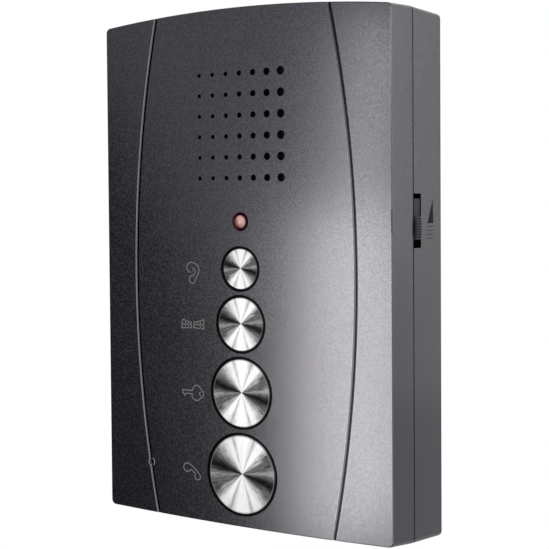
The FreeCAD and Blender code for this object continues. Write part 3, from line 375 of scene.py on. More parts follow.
@dataclass(frozen=True)
class Anthracite(Coating):
    """The casing's fine-grained moulding, with pale flecks, and painted highlights and shade on its
    grooves and edges.

    Places are millimetres in the part's frame, and depths are behind the front.
    """

    colour: Colour = shade(13, 15, 20)
    fleck: Colour = shade(42, 39, 47)
    # Painted highlight grey for the left groove's flank, the pin hole's rim and the front right
    # edge.
    highlight_grey: Colour = shade(140, 140, 144)
    # Painted sheen on the right groove's flank, standing in for a reflection.
    sheen_grey: Colour = shade(232, 232, 236)
    # Painted red reflection of the lamp in its countersink.
    painted_lamp_reflection: Colour = shade(58, 30, 38)
    gloss_tint: Colour = (0.925, 0.915, 1.0)
    specular: float = 0.54
    roughness: float = 0.21
    grain: Span = (1.55, 0.8)
    fine_scale: float = 7.0
    fine_contrast: float = 0.5
    drift_scale: float = 0.05
    drift_contrast: float = 0.08
    gloss_grain: float = 0.12
    gloss_drift: float = 0.03
    grain_height: float = 0.0035
    fine_height: float = 0.0012
    shadow_metal: float = 0.9
    fleck_step: Span = (0.42, 0.62)
    fleck_fade: Span = (-80.0, 100.0)
    fleck_least: float = 0.35
    front: float = -35.0
    film: float = 0.05
    # The painted highlight along the front right edge: where it lies, how deep, how it brightens
    # upwards, and an unlit gap near the slider's height.
    edge: Span = (91.75, 91.93)
    edge_depth: float = 0.6
    edge_brightening: Span = (35.0, 75.0)
    unlit_edge: float = 17.2
    unlit_edge_half: Span = (3.5, 4.1)
    groove_reach: float = 44.1
    groove_radius: float = 416.7
    groove_middle: float = -1.4
    groove_depth: float = 1.0
    groove_lip: float = 0.85
    groove_half: float = 0.7
    # Painted shade deep in the grooves, and on the front lip right of the right groove.
    left_shallow: float = 0.42
    right_dusk: Span = (0.55, 0.9)
    right_brink: float = -0.5
    # The painted sheen fades towards the top.
    sheen_fade: Span = (0.0, 90.0)
    sheen_loss: float = 0.75
    # The pin hole, whose rim and wall get the painted highlight.
    pin_hole: Span = (-38.71, -68.18)
    pin_hole_rim: float = 1.4
    pin_hole_depth: float = 1.2
    # The lamp's countersink, painted in shade and in the lamp's red reflection.
    lamp: Span = (0.0, 16.77)
    lamp_recess: float = 3.25
    lamp_depth: float = 3.0
    # Painted shade along the seam, and along the rear edge.
    seam: float = -20.95
    seam_half: Span = (0.25, 0.7)
    seam_dusk: float = 0.22
    rear_edge_shade: Span = (-1.1, -0.5)
    rear_face: float = -0.005
    # Painted shadow beside each button: circles of the given height and reach, shifted left.
    button_shadows: tuple[Span, ...] = ((-68.43, 14.15), (-40.93, 12.35), (-17.68, 9.9), (0.92, 7.7))
    button_shadow_shift: float = -0.4

    def within(self, place: Place, depth: float) -> Level:
        """1 where the point lies less than a depth behind the front."""
        return place.y < self.front + depth

    def grooves(self, place: Place) -> tuple[Level, Level]:
        """How far left of each groove's middle line the point lies.

        Args:
            place: The point being painted.

        Returns:
            The distance for the left and for the right groove.
        """
        centre = self.groove_radius - self.groove_reach
        return (place.radius(centre, self.groove_middle) - self.groove_radius,
                self.groove_radius - place.radius(-centre, self.groove_middle))

    def painted_highlight(self, place: Place) -> Level:
        """How much painted highlight lies on the moulding.

        Args:
            place: The point being painted.

        Returns:
            1 on the left groove's flank, the pin hole's rim and the front right edge, else 0.
        """
        left, _ = self.grooves(place)
        # Painted highlight on the left groove's flank that faces right.
        flank = (left > 0.0) * (left < self.groove_lip) * self.within(place, self.left_shallow)
        # Painted highlight on the pin hole's rim and wall.
        rim = place.radius(*self.pin_hole) < self.pin_hole_rim
        rim = rim * self.within(place, self.pin_hole_depth)
        # Painted highlight along the front right edge, dimmer low down, with an unlit gap.
        edge = (place.x - place.y).rise(*self.edge) * self.within(place, self.edge_depth)
        edge_highlight = edge * (place.z.rise(*self.edge_brightening) * 0.5 + 0.5)
        edge_highlight = edge_highlight * abs(place.z - self.unlit_edge).rise(*self.unlit_edge_half)
        return place.math("MINIMUM", flank + rim + edge_highlight, 1.0)

    def sheen(self, place: Place) -> Level:
        """How much painted sheen the right groove's flank gets, standing in for the light beside
        it.

        Args:
            place: The point being painted.

        Returns:
            1 low on the flank that faces right, less towards the top, else 0.
        """
        _, right = self.grooves(place)
        flank = (right > 0.0) * (right < self.groove_half) * self.within(place, self.groove_depth)
        return flank * (1 - place.z.rise(*self.sheen_fade) * self.sheen_loss)

    def recess(self, place: Place) -> Level:
        """1 in the countersink round the lamp."""
        return (place.radius(*self.lamp) < self.lamp_recess) * self.within(place, self.lamp_depth)

    def shadow(self, place: Place) -> Level:
        """How much painted shade the moulding gets, in narrow gaps and hollows.

        Args:
            place: The point being painted.

        Returns:
            1 deep in the grooves, round the lamp, beside the buttons and at the rear edge, less in
            the seam.
        """
        left, right = self.grooves(place)
        # Painted shade deep in both grooves.
        total = (abs(left) < self.groove_half) * (place.y > self.front + self.left_shallow)
        low, deep = self.right_dusk
        dusk = place.y.rise(self.front + low, self.front + deep)
        total = total + (abs(right) < self.groove_half) * dusk
        total = total * self.within(place, self.groove_depth)
        on_front = self.within(place, self.film)
        # Painted shade on the front lip right of the right groove.
        total = total + (right > -self.groove_lip) * (right < self.right_brink) * on_front
        # Painted shadow beside each button.
        for height, reach in self.button_shadows:
            total = total + (place.radius(self.button_shadow_shift, height) < reach) * on_front
        total = total + self.recess(place)
        total = total + (1 - abs(place.y - self.seam).rise(*self.seam_half)) * self.seam_dusk
        # Painted shade along the rear edge, not on the rear face.
        rear = place.y.rise(*self.rear_edge_shade) * (place.y < self.rear_face)
        return place.math("MINIMUM", total + rear, 1.0)

    def surface(self, place: Place) -> Surface:
        """The moulding at the point being painted.

        Args:
            place: The point.

        Returns:
            Grain, flecks, painted highlights, painted sheen, painted shade and the lamp's painted
            red reflection in its recess, with a slow drift of gloss.
        """
        grain = place.cloud(*self.grain)
        fine = place.cloud(self.fine_scale)
        drift = place.cloud(self.drift_scale)
        level = (fine - 0.5) * self.fine_contrast + (drift - 0.5) * self.drift_contrast + 1
        shadow = self.shadow(place)
        lasting = place.z.rise(*self.fleck_fade) * (1 - self.fleck_least) + self.fleck_least
        flecks = grain.rise(*self.fleck_step) * lasting
        tint = place.mix(flecks, self.colour, self.fleck)
        # Painted highlights and sheen, then painted shade over them.
        tint = place.mix(self.painted_highlight(place), tint, self.highlight_grey)
        tint = place.mix(self.sheen(place), tint, self.sheen_grey)
        tint = place.mix(shadow, place.scaled(tint, level), BLACK)
        # Painted red reflection of the lamp in its countersink.
        tint = place.mix(self.recess(place), tint, self.painted_lamp_reflection)
        gloss = (grain - 0.5) * self.gloss_grain + (drift - 0.5) * self.gloss_drift
        return Surface(tint, gloss + self.roughness, shadow * self.shadow_metal,
                       grain * self.grain_height + fine * self.fine_height)


@dataclass(frozen=True)
class PaintedSunray(Coating):
    """A disc faced on a lathe, with painted reflections: bright and dark fans that meet off its
    centre, with fine strokes.
    """

    centre: float
    radius: float
    offset: Span = (0.2, 0.22)
    steel: Colour = (0.402, 0.404, 0.419)
    roughness: float = 0.46
    # A painted highlight line inside the bevel, and the bevel's painted brightness.
    line: float = 0.962
    line_half: Span = (0.006, 0.016)
    line_light: float = 0.14
    bevel: Span = (0.97, 0.98)
    bevel_light: float = 0.04
    hub: Span = (0.6, 0.85)
    stroke_count: float = 75.0
    bright_strokes: float = 0.1
    dark_strokes: float = 3.2
    circle_contrast: float = 0.2
    gloss_circles: float = 0.12
    wander: float = 0.012
    # Painted reflection greys by angle in degrees, near the hub and near the rim.
    inner: tuple[Span, ...] = (
        (0, 96), (5, 136), (8, 134), (15, 88), (20, 113), (25, 86), (30, 137), (34, 172), (38, 164),
        (41, 170), (45, 214), (50, 252), (60, 252), (64, 222), (67.5, 180), (70.5, 218), (75, 240),
        (80, 252), (101, 245), (107.5, 194), (112, 238), (116, 246), (124, 235), (130, 204),
        (142.5, 142), (150, 92), (157.5, 60), (165, 24), (170, 27), (175, 50), (180, 96))
    outer: tuple[Span, ...] = (
        (0, 106), (5, 146), (9, 146), (14, 102), (20, 90), (33, 95), (36, 98), (39, 146), (42, 176),
        (46, 214), (50, 243), (60, 241), (64, 212), (67.5, 166), (71, 216), (75, 230), (80, 253),
        (101, 246), (107.5, 184), (111, 220), (114, 244), (123, 227), (130, 186), (134, 178),
        (140, 130), (148, 104), (155, 84), (158, 62), (162.5, 34), (168, 28), (172.5, 52),
        (180, 106))

    @staticmethod
    def fans(place: Place, turn: Level, greys: Points) -> Level:
        """Painted reflection brightness by angle.

        Args:
            place: The point being painted.
            turn: The angle in half turns.
            greys: Pairs of angle in degrees and grey.

        Returns:
            The brightness.
        """
        stops = [(angle / 180, shade(grey, 0, 0)[0]) for angle, grey in greys]
        return place.level("ValToRGB", {0: turn % 1.0}, stops=stops)

    def surface(self, place: Place) -> Surface:
        """The disc at the point being painted.

        Args:
            place: The point.

        Returns:
            Painted reflection fans by angle, strokes along the radius and a faint painted highlight
            line inside the bevel.
        """
        up = place.z - self.centre - self.offset[1]
        turn = place.math("ARCTAN2", up, place.x - self.offset[0]) / math.pi
        ring = place.radius(0.0, self.centre) / self.radius
        circles = place.noise(place.combined(ring * self.radius, turn * 0.6, 0.0), 5.0, 3.0)
        spokes = place.combined(ring * 5.0, turn * self.stroke_count, self.centre)
        strokes = place.noise(spokes, 1.0) - 0.5
        wander = turn + (circles - 0.5) * self.wander
        share = ring.rise(*self.hub)
        fan = (self.fans(place, wander, self.inner) * (1 - share)
               + self.fans(place, wander, self.outer) * share)
        strokes = strokes * ((1 - fan) * self.dark_strokes + self.bright_strokes)
        level = fan * ((circles - 0.5) * self.circle_contrast + strokes + 1)
        line = 1 - abs(ring - self.line).rise(*self.line_half)
        bevel = ring.rise(*self.bevel)
        # Painted highlight line, then the bevel.
        level = level * (1 - line) + (fan * 0.5 + self.line_light) * line
        level = level * (1 - bevel) + (fan * 0.5 + self.bevel_light) * bevel
        gloss = (circles - 0.5) * self.gloss_circles + self.roughness
        return Surface(place.scaled(self.steel, level), gloss, 1.0, circles * 0.0006)


@dataclass(frozen=True)
class TintedLens(Coating):
    """The lamp's tinted epoxy, with a painted highlight that pales it towards the upper right, and
    darker at its edge.
    """

    deep: Colour = shade(126, 66, 65)
    # The painted highlight's colour, towards the upper right.
    pale: Colour = shade(255, 196, 188)
    edge: Colour = shade(76, 35, 41)
    edge_step: Span = (0.74, 0.93)
    highlight_step: Span = (-1.4, 2.2)
    highlight_slant: float = 0.55
    centre: float = 16.77
    radius: float = 2.5
    roughness: float = 0.28
    specular: float = 0.3
    coat: float = 0.2

    def surface(self, place: Place) -> Surface:
        """The epoxy at the point being painted.

        Args:
            place: The point.

        Returns:
            A tint with a painted highlight towards the upper right, darker at the edge.
        """
        share = (place.radius(0.0, self.centre) / self.radius).rise(*self.edge_step)
        # Painted highlight, paler towards the upper right.
        glow = (place.x + (place.z - self.centre) * self.highlight_slant).rise(*self.highlight_step)
        cloud = place.cloud(1.5)
        tint = place.mix(share, place.mix(glow, self.deep, self.pale), self.edge)
        return Surface(place.scaled(tint, (cloud - 0.5) * 0.15 + 1),
                       cloud * 0.06 + self.roughness, 0.0, cloud * 0.002)


@dataclass(frozen=True)
class Lacquer(Coating):
    """Green solder resist over copper tracks, with bare laminate at the cut edges."""

    resist: Colour = shade(24, 92, 52)
    copper: Colour = shade(58, 130, 70)
    laminate: Colour = shade(168, 150, 96)
    middle: float = -22.2
    half_thickness: Span = (0.74, 0.78)
    pitch: float = 2.54
    track_half: Span = (0.12, 0.17)
    wave: float = 0.35
    sway: float = 0.6
    patch_scale: float = 0.11
    patch_step: Span = (0.42, 0.5)
    track_height: float = 0.03
    bare_gloss: float = 0.4
    roughness: float = 0.28
    coat: float = 0.4

    def surface(self, place: Place) -> Surface:
        """The board at the point being painted.

        Args:
            place: The point.

        Returns:
            Tracks that wander over the board's two faces.
        """
        bend = place.math("SINE", place.z * self.wave)
        lane = abs((place.x / self.pitch + bend * self.sway) % 1.0 - 0.5)
        patch = place.cloud(self.patch_scale).rise(*self.patch_step)
        track = (1 - lane.rise(*self.track_half)) * patch
        face = abs(place.y - self.middle).rise(*self.half_thickness)
        tint = place.mix(face, self.laminate, place.mix(track, self.resist, self.copper))
        cloud = place.cloud(0.8)
        gloss = (1 - face) * self.bare_gloss + (cloud - 0.5) * 0.05 + self.roughness
        return Surface(place.scaled(tint, (cloud - 0.5) * 0.12 + 1), gloss, 0.0,
                       track * face * self.track_height)


AnyFinish = Union[Finish, Split, Anthracite, PaintedSunray, TintedLens, Lacquer]


def paint(name: str, finish: AnyFinish) -> Material:
    """Makes a finish's material.

    Args:
        name: The material's name.
        finish: The finish.

    Returns:
        The material.
    """
    place = Place(name)
    surface = finish.surface(place)
    bump = place.node("Bump", {"Strength": 1.0, "Distance": MM, "Height": surface.height})
    shader = place.node("BsdfPrincipled", {
        "Base Color": surface.colour, "Roughness": surface.roughness,
        "Metallic": surface.metallic, "Normal": bump.outputs[0],
        "Specular IOR Level": finish.specular, "Specular Tint": finish.gloss_tint,
        "Coat Weight": finish.coat, "Coat Roughness": finish.coat_roughness})
    place.node("OutputMaterial", {"Surface": shader.outputs[0]})
    return place.owner


def dress(node: str, material: Material) -> None:
    """Gives a CAD node its material and reports it.

    Args:
        node: The node's name.
        material: Its material.
    """
    piece = bpy.data.objects[node]
    if not piece.material_slots:
        piece.data.materials.append(material)
    for slot in piece.material_slots:
        slot.material = material
    log.info("dressed %s in %s", node, material.name)


def dress_each(rows: Sequence[tuple[str, str, AnyFinish]]) -> None:
    """Dresses CAD nodes, each in a material of its own.

    Args:
        rows: Each node's name, its material's name and its finish.
    """
    for node, name, finish in rows:
        dress(node, paint(name, finish))


def deselect() -> None:
    """Leaves edit mode and deselects everything."""
    if bpy.context.object and bpy.context.object.mode != "OBJECT":
        bpy.ops.object.mode_set(mode="OBJECT")
    bpy.ops.object.select_all(action="DESELECT")


def edit_all() -> None:
    """Opens the active piece's mesh with all of it selected."""
    bpy.ops.object.mode_set(mode="EDIT")
    bpy.ops.mesh.select_all(action="SELECT")


def turn_outwards() -> None:
    """Turns the faces of the active piece outwards and closes its mesh."""
    edit_all()
    bpy.ops.mesh.normals_make_consistent(inside=False)
    bpy.ops.object.mode_set(mode="OBJECT")


def shape(kind: str, **settings: object) -> None:
    """Gives the active piece a modifier and applies it.

    Args:
        kind: The modifier's type.
        settings: Its settings.
    """
    modifier = bpy.context.object.modifiers.new(kind, kind)
    for key, value in settings.items():
        setattr(modifier, key, value)
    bpy.ops.object.modifier_apply(modifier=kind)


class Side(Enum):
    """The two outer faces that carry printing."""

    FRONT = "front"
    RIGHT = "right"

    def at(self, across: float, up: float, lift: float = 0.0) -> Vector:
        """A point on the face.

        Args:
            across: X on the front, Y on the right side, in millimetres.
            up: Height in millimetres.
            lift: Distance out of the face in millimetres.

        Returns:
            The point in metres.
        """
        if self is Side.FRONT:
            return Vector((across * MM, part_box("front_cover")[0].y - lift * MM, up * MM))
        return Vector((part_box("rear_housing")[1].x + lift * MM, across * MM, up * MM))


@dataclass(frozen=True)
class Stroke:
    """One line of a sign, through points on its face."""

    points: Points
    closed: bool = False
    soft: bool = False
    filled: bool = False


@dataclass(frozen=True)
class Sign:
    """A printed sign made of strokes."""

    name: str
    strokes: tuple[Stroke, ...]
    side: Side = Side.FRONT
    line: float = 0.36
    ink: float = 0.04
    sunk: float = 0.02

    def draw_stroke(self, stroke: Stroke) -> bpy.types.Object:
        """Extrudes a point along a stroke and gives the line its width and ink.

        Args:
            stroke: The stroke.

        Returns:
            The stroke's mesh object.
        """
        deselect()
        points = list(stroke.points) + ([stroke.points[0]] if stroke.closed else [])
        places = [self.side.at(across, up, -self.sunk) for across, up in points]
        bpy.ops.mesh.primitive_plane_add(size=MM, location=places[0])
        drawn = bpy.context.object
        bpy.ops.object.mode_set(mode="EDIT")
        bpy.ops.mesh.merge(type="CENTER")
        for here, there in zip(places, places[1:]):
            bpy.ops.mesh.extrude_vertices_move(TRANSFORM_OT_translate={"value": there - here})
        bpy.ops.mesh.select_all(action="SELECT")
        bpy.ops.mesh.remove_doubles(threshold=TOUCHING)
        rise = self.side.at(0.0, 0.0, self.sunk + self.ink) - self.side.at(0.0, 0.0)
        if stroke.filled:
            bpy.ops.mesh.edge_face_add()
            bpy.ops.mesh.extrude_region_move(TRANSFORM_OT_translate={"value": rise})
        else:
            bpy.ops.mesh.extrude_edges_move(TRANSFORM_OT_translate={"value": rise})
        bpy.ops.object.mode_set(mode="OBJECT")
        if stroke.soft:
            shape("SUBSURF", levels=2, render_levels=2, boundary_smooth="PRESERVE_CORNERS")
        if not stroke.filled:
            shape("SOLIDIFY", thickness=self.line * MM, offset=0.0, use_even_offset=True)
        turn_outwards()
        return drawn

    def print_on(self, ink: Material) -> None:
        """Draws the sign and fixes it to the casing.

        Args:
            ink: The ink's material.
        """
        drawn = [self.draw_stroke(stroke) for stroke in self.strokes]
        deselect()
        for piece in drawn:
            piece.select_set(True)
        bpy.context.view_layer.objects.active = drawn[0]
        if len(drawn) > 1:
            bpy.ops.object.join()
        bpy.ops.object.transform_apply(location=True, rotation=True, scale=True)
        sign = bpy.context.object
        sign.name = self.name
        sign.data.materials.clear()
        sign.data.materials.append(ink)
        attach(sign, "casing")
        log.info("printed %s", self.name)


@dataclass
class Casing:
    """The front cover and rear housing with their screws and printed signs."""

    moulding: Anthracite = Anthracite()
    zinc: Finish = Finish((176, 178, 182), 0.34, 1.0, Relief.SPANGLE, 0.5, 0.002)
    light_ink: Finish = Finish((94, 94, 97), 0.6, size=0.2, depth=0.0)
    dark_ink: Finish = Finish((50, 49, 54), 0.9, size=0.2, depth=0.0, specular=0.05)
    mid_ink: Finish = Finish((90, 90, 93), 0.8, size=0.2, depth=0.0, specular=0.1)
    signs: tuple[Sign, ...] = (
        Sign("sign_listen", (
            Stroke((
                (-20.69, -0.78), (-21.28, -0.66), (-21.96, -0.26), (-22.33, 0.36), (-22.44, 0.99),
                (-22.31, 1.63), (-21.98, 2.11), (-21.39, 2.48), (-20.65, 2.69), (-19.87, 2.65),
                (-19.18, 2.51), (-18.5, 2.23), (-17.88, 1.77), (-17.49, 1.19), (-17.26, 0.57),
                (-17.15, -0.06), (-17.42, -0.69), (-17.52, -1.25), (-17.97, -1.97), (-18.56, -2.69),
                (-18.72, -3.41), (-19.02, -4.01), (-19.56, -4.54), (-20.06, -4.71), (-20.59, -4.38),
                (-21.13, -3.96), (-21.47, -3.65), (-21.26, -3.01), (-21.2, -2.38), (-20.9, -1.89),
                (-20.22, -1.99), (-19.63, -1.66), (-19.08, -1.29), (-18.75, -0.73), (-18.88, -0.18),
                (-19.31, 0.28), (-20.09, 0.81)), soft=True),
            Stroke(((-20.0, -0.33), (-20.01, -0.68))))),
        Sign("sign_gate", (
            Stroke((
                (-24.43, -17.05), (-23.1, -17.4), (-21.73, -17.8), (-20.81, -17.9),
                (-20.59, -18.62), (-20.78, -19.84), (-24.87, -20.02)), closed=True),
            Stroke(((-24.74, -18.69), (-20.65, -18.72))),
            Stroke(((-23.19, -17.36), (-23.23, -19.96))),
            Stroke(((-21.86, -17.76), (-21.93, -19.91))),
            Stroke((
                (-19.38, -17.83), (-18.07, -17.67), (-16.47, -17.18), (-15.39, -16.76),
                (-15.43, -20.03), (-17.87, -19.87), (-19.8, -19.69)), closed=True),
            Stroke(((-19.28, -18.75), (-15.47, -18.6))),
            Stroke(((-18.04, -17.67), (-18.08, -18.78))),
            Stroke(((-16.81, -17.24), (-16.79, -20.0))))),
        Sign("sign_key", (
            Stroke((
                (-24.77, -41.49), (-22.71, -41.54), (-20.45, -41.52), (-20.3, -40.75),
                (-19.94, -40.1), (-19.25, -39.68), (-18.56, -39.58), (-17.88, -39.76),
                (-17.37, -40.27), (-16.75, -40.78), (-16.13, -41.47), (-15.77, -42.18),
                (-15.87, -43.02), (-16.33, -43.56), (-17.13, -43.91), (-17.65, -44.5),
                (-18.51, -44.91), (-19.42, -44.74), (-20.22, -44.29), (-20.67, -43.68),
                (-20.6, -42.75), (-22.04, -42.69), (-23.3, -42.73), (-23.83, -43.42),
                (-24.17, -42.84), (-24.63, -42.27)), closed=True),
            Stroke((
                (-16.95, -41.7), (-17.62, -42.23), (-17.57, -42.69), (-16.8, -43.1)), soft=True))),
        Sign("sign_talk", (
            Stroke((
                (-23.28, -66.83), (-22.39, -67.02), (-21.49, -67.42), (-19.81, -68.51),
                (-18.12, -69.89), (-17.33, -70.98), (-17.52, -71.98), (-18.51, -72.38),
                (-19.5, -72.18), (-19.9, -71.29), (-19.51, -70.39), (-20.3, -69.7),
                (-21.39, -68.91), (-22.08, -69.61), (-23.07, -70.01), (-24.26, -69.51),
                (-24.76, -68.62), (-24.27, -67.42)), closed=True, soft=True),)))
    louder: Sign = Sign("sign_louder", (
        Stroke(((-6.47, 23.6), (-10.2, 16.13), (-6.1, 16.03)), closed=True, filled=True),
    ), Side.RIGHT)
    quieter: Sign = Sign("sign_quieter", tuple(
        Stroke(((front_end, up), (-6.2, up)))
        for front_end, up in ((-10.3, 15.0), (-11.0, 13.6), (-11.0, 12.35), (-11.0, 11.15))
    ), Side.RIGHT, line=0.35)

    def build(self) -> None:
        """Dresses the casing and prints its signs."""
        moulding = paint("anthracite_moulding", self.moulding)
        dress("front_cover", moulding)
        dress("rear_housing", moulding)
        dress("cover_screws", paint("zinc_plate", self.zinc))
        light = paint("light_grey_ink", self.light_ink)
        for sign in self.signs:
            sign.print_on(light)
        self.louder.print_on(paint("dark_ink", self.dark_ink))
        self.quieter.print_on(paint("mid_grey_ink", self.mid_ink))


@dataclass(frozen=True)
class ReturnSpring:
    """A button's coil spring, wound in its solid's place."""

    button: str
    wire_radius: float = 0.15
    wire_sides: int = 10
    coil_radius: float = 1.9
    turns: int = 3
    steps: int = 32
    travel: float = 1.5

    def wind(self, steel: Material) -> None:
        """Winds the spring.

        Args:
            steel: The wire's material.
        """
        node = self.button + "_spring"
        low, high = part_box(node)
        length = (high.y - low.y) / MM
        middle = (low + high) / 2
        wire = self.wire_radius * MM
        deselect()
        bpy.ops.mesh.primitive_circle_add(vertices=self.wire_sides, radius=wire,
                                          location=(middle.x, low.y + wire, middle.z))
        coil = bpy.context.object
        coil.name = self.button + "_coil"
        edit_all()
        bpy.ops.transform.translate(value=(self.coil_radius * MM, 0.0, 0.0))
        bpy.ops.object.mode_set(mode="OBJECT")
        shape("SCREW", axis="Y", screw_offset=(length * MM - 2 * wire) / self.turns,
              iterations=self.turns, steps=self.steps, render_steps=self.steps)
        edit_all()
        bpy.ops.mesh.remove_doubles(threshold=TOUCHING)
        bpy.ops.mesh.fill_holes(sides=self.wire_sides)
        turn_outwards()
        bpy.ops.object.shade_smooth_by_angle()
        bpy.ops.object.transform_apply(location=True, rotation=True, scale=True)
        coil.data.materials.append(steel)
        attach(coil, "casing")
        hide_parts(node)
        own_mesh(coil)
        log.info("wound %s", coil.name)


@dataclass
class ButtonColumn:
    """The four push buttons with their discs, switches, plungers and springs."""

    names: tuple[str, ...] = ("talk", "lock", "gate", "listen")
    black: Finish = Finish((5, 5, 6), 0.35, size=0.6, depth=0.002, specular=0.02)
    switch: Finish = Finish((40, 40, 44), 0.42)
    plunger: Finish = Finish((198, 196, 188), 0.4)
    spring: Finish = Finish((188, 188, 192), 0.25, 1.0, Relief.WINDING, 0.1, 0.001)

    def build(self) -> None:
        """Dresses each button, its disc turned about its own centre, and winds its spring."""
        black = paint("satin_black", self.black)
        switch = paint("switch_moulding", self.switch)
        plunger = paint("plunger_nylon", self.plunger)
        spring = paint("spring_steel", self.spring)
        for name in self.names:
            low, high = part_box(name + "_disc")
            disc = PaintedSunray((low.z + high.z) / 2 / MM, (high.z - low.z) / 2 / MM)
            dress(name + "_disc", paint(name + "_sunray", disc))
            dress(name + "_button", black)
            dress(name + "_switch", switch)
            dress(name + "_plunger", plunger)
            ReturnSpring(name).wind(spring)


@dataclass
class SignalLamp:
    """The signal lamp and its spacer."""

    lens: TintedLens = TintedLens()
    spacer: Finish = Finish((28, 28, 30), 0.5)

    def build(self) -> None:
        """Dresses the lamp."""
        dress_each((("led_lamp", "tinted_lens", self.lens),
                    ("led_spacer", "lamp_spacer_nylon", self.spacer)))


@dataclass
class VolumeSlider:
    """The ribbed grip in the side, with the slide resistor it moves."""

    # Rib crests painted pale as lit, valleys painted dark as shaded.
    crest: Finish = Finish((78, 78, 82), 0.5, size=0.4)
    valley: Finish = Finish((30, 30, 33), 0.6, size=0.4)
    tab: Finish = Finish((69, 68, 73), 0.5, size=0.4)
    # Painted shade along the grip's front margin.
    margin: Finish = Finish((28, 28, 30), 0.6, size=0.4)
    track: Finish = Finish((92, 93, 97), 0.4, 1.0, Relief.FIBRE, 0.6, 0.002)
    carriage: Finish = Finish((210, 206, 196), 0.45)
    grip_middle: float = 14.72
    grip_half: float = 3.85
    rib_pitch: float = 0.856
    valley_share: float = 0.22
    margin_end: float = -19.2

    def ridge(self, place: Place) -> Level:
        """1 on the crest of a rib."""
        count = (place.z - self.grip_middle) / self.rib_pitch
        return abs(count % 1.0 - 0.5) > self.valley_share

    def knob(self) -> Split:
        """The grip and its tab.

        Returns:
            Pale crests, dark valleys and the tab, with a shaded front margin.
        """
        ribs = Split(self.valley, self.crest, self.ridge)
        face = Split(ribs, self.tab, lambda place: place.z > self.grip_middle + self.grip_half)
        return Split(face, self.margin, lambda place: place.y < self.margin_end, specular=0.05)

    def build(self) -> None:
        """Dresses the slider."""
        dress_each((("volume_knob", "grip_moulding", self.knob()),
                    ("volume_track", "tinned_sheet", self.track),
                    ("volume_carriage", "carriage_nylon", self.carriage)))


@dataclass
class Speaker:
    """The loudspeaker behind the grille."""

    cloth: Finish = Finish((16, 16, 17), 0.9, 0.0, Relief.WEAVE, 0.35, 0.05, mottle=0.5)
    foam: Finish = Finish((34, 34, 36), 0.95, 0.0, Relief.PORES, 0.5, 0.15, mottle=0.5)
    steel: Finish = Finish((172, 168, 150), 0.36, 1.0, Relief.SPANGLE, 2.5, 0.001, mottle=0.12)
    paper: Finish = Finish((46, 44, 43), 0.85, 0.0, Relief.FIBRE, 0.8, 0.03, mottle=0.3)
    cap: Finish = Finish((30, 30, 31), 0.7, 0.0, Relief.FIBRE, 0.6, 0.02, mottle=0.3)
    copper: Finish = Finish((190, 104, 62), 0.32, 1.0, Relief.WINDING, 0.12, 0.02, mottle=0.2)
    spider: Finish = Finish((172, 132, 74), 0.85, 0.0, Relief.WEAVE, 0.4, 0.05, mottle=0.4)
    ferrite: Finish = Finish((58, 58, 60), 0.62, size=0.25, depth=0.02, mottle=0.3)
    zinc: Finish = Finish((184, 186, 190), 0.3, 1.0, Relief.SPANGLE, 1.0, 0.001)
    board: Finish = Finish((122, 82, 48), 0.6, 0.0, Relief.FIBRE, 0.7, 0.01, mottle=0.3)
    tin: Finish = Finish((200, 200, 198), 0.3, 1.0, size=0.4, depth=0.002)
    lug_length: float = 1.0

    def build(self) -> None:
        """Dresses the loudspeaker's pieces."""
        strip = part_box("speaker_terminals")[1].z / MM - self.lug_length
        lugs = Split(self.board, self.tin, lambda place: place.z < strip)
        dress_each((
            ("speaker_felt", "grille_cloth", self.cloth),
            ("speaker_gasket", "gasket_foam", self.foam),
            ("speaker_frame", "basket_plate", self.steel),
            ("speaker_cone", "cone_paper", self.paper),
            ("speaker_dust_cap", "cap_paper", self.cap),
            ("speaker_coil", "copper_winding", self.copper),
            ("speaker_spider", "spider_cloth", self.spider),
            ("speaker_magnet", "ferrite", self.ferrite),
            ("speaker_top_plate", "pole_plate", self.zinc),
            ("speaker_yoke", "yoke_plate", self.zinc),
            ("speaker_terminals", "lug_strip", lugs),
            ("speaker_clamps", "clamp_steel", self.zinc),
            ("speaker_screws", "clamp_screw_steel", self.zinc)))


@dataclass
class Microphone:
    """The capsule in its rubber boot."""

    metal: Finish = Finish((196, 198, 202), 0.3, 1.0, Relief.CIRCLES, 0.4, 0.002)
    rubber: Finish = Finish((24, 24, 25), 0.8, size=0.3, depth=0.01)

    def build(self) -> None:
        """Dresses the microphone."""
        dress_each((("microphone", "capsule_aluminium", self.metal),
                    ("microphone_boot", "boot_rubber", self.rubber)))


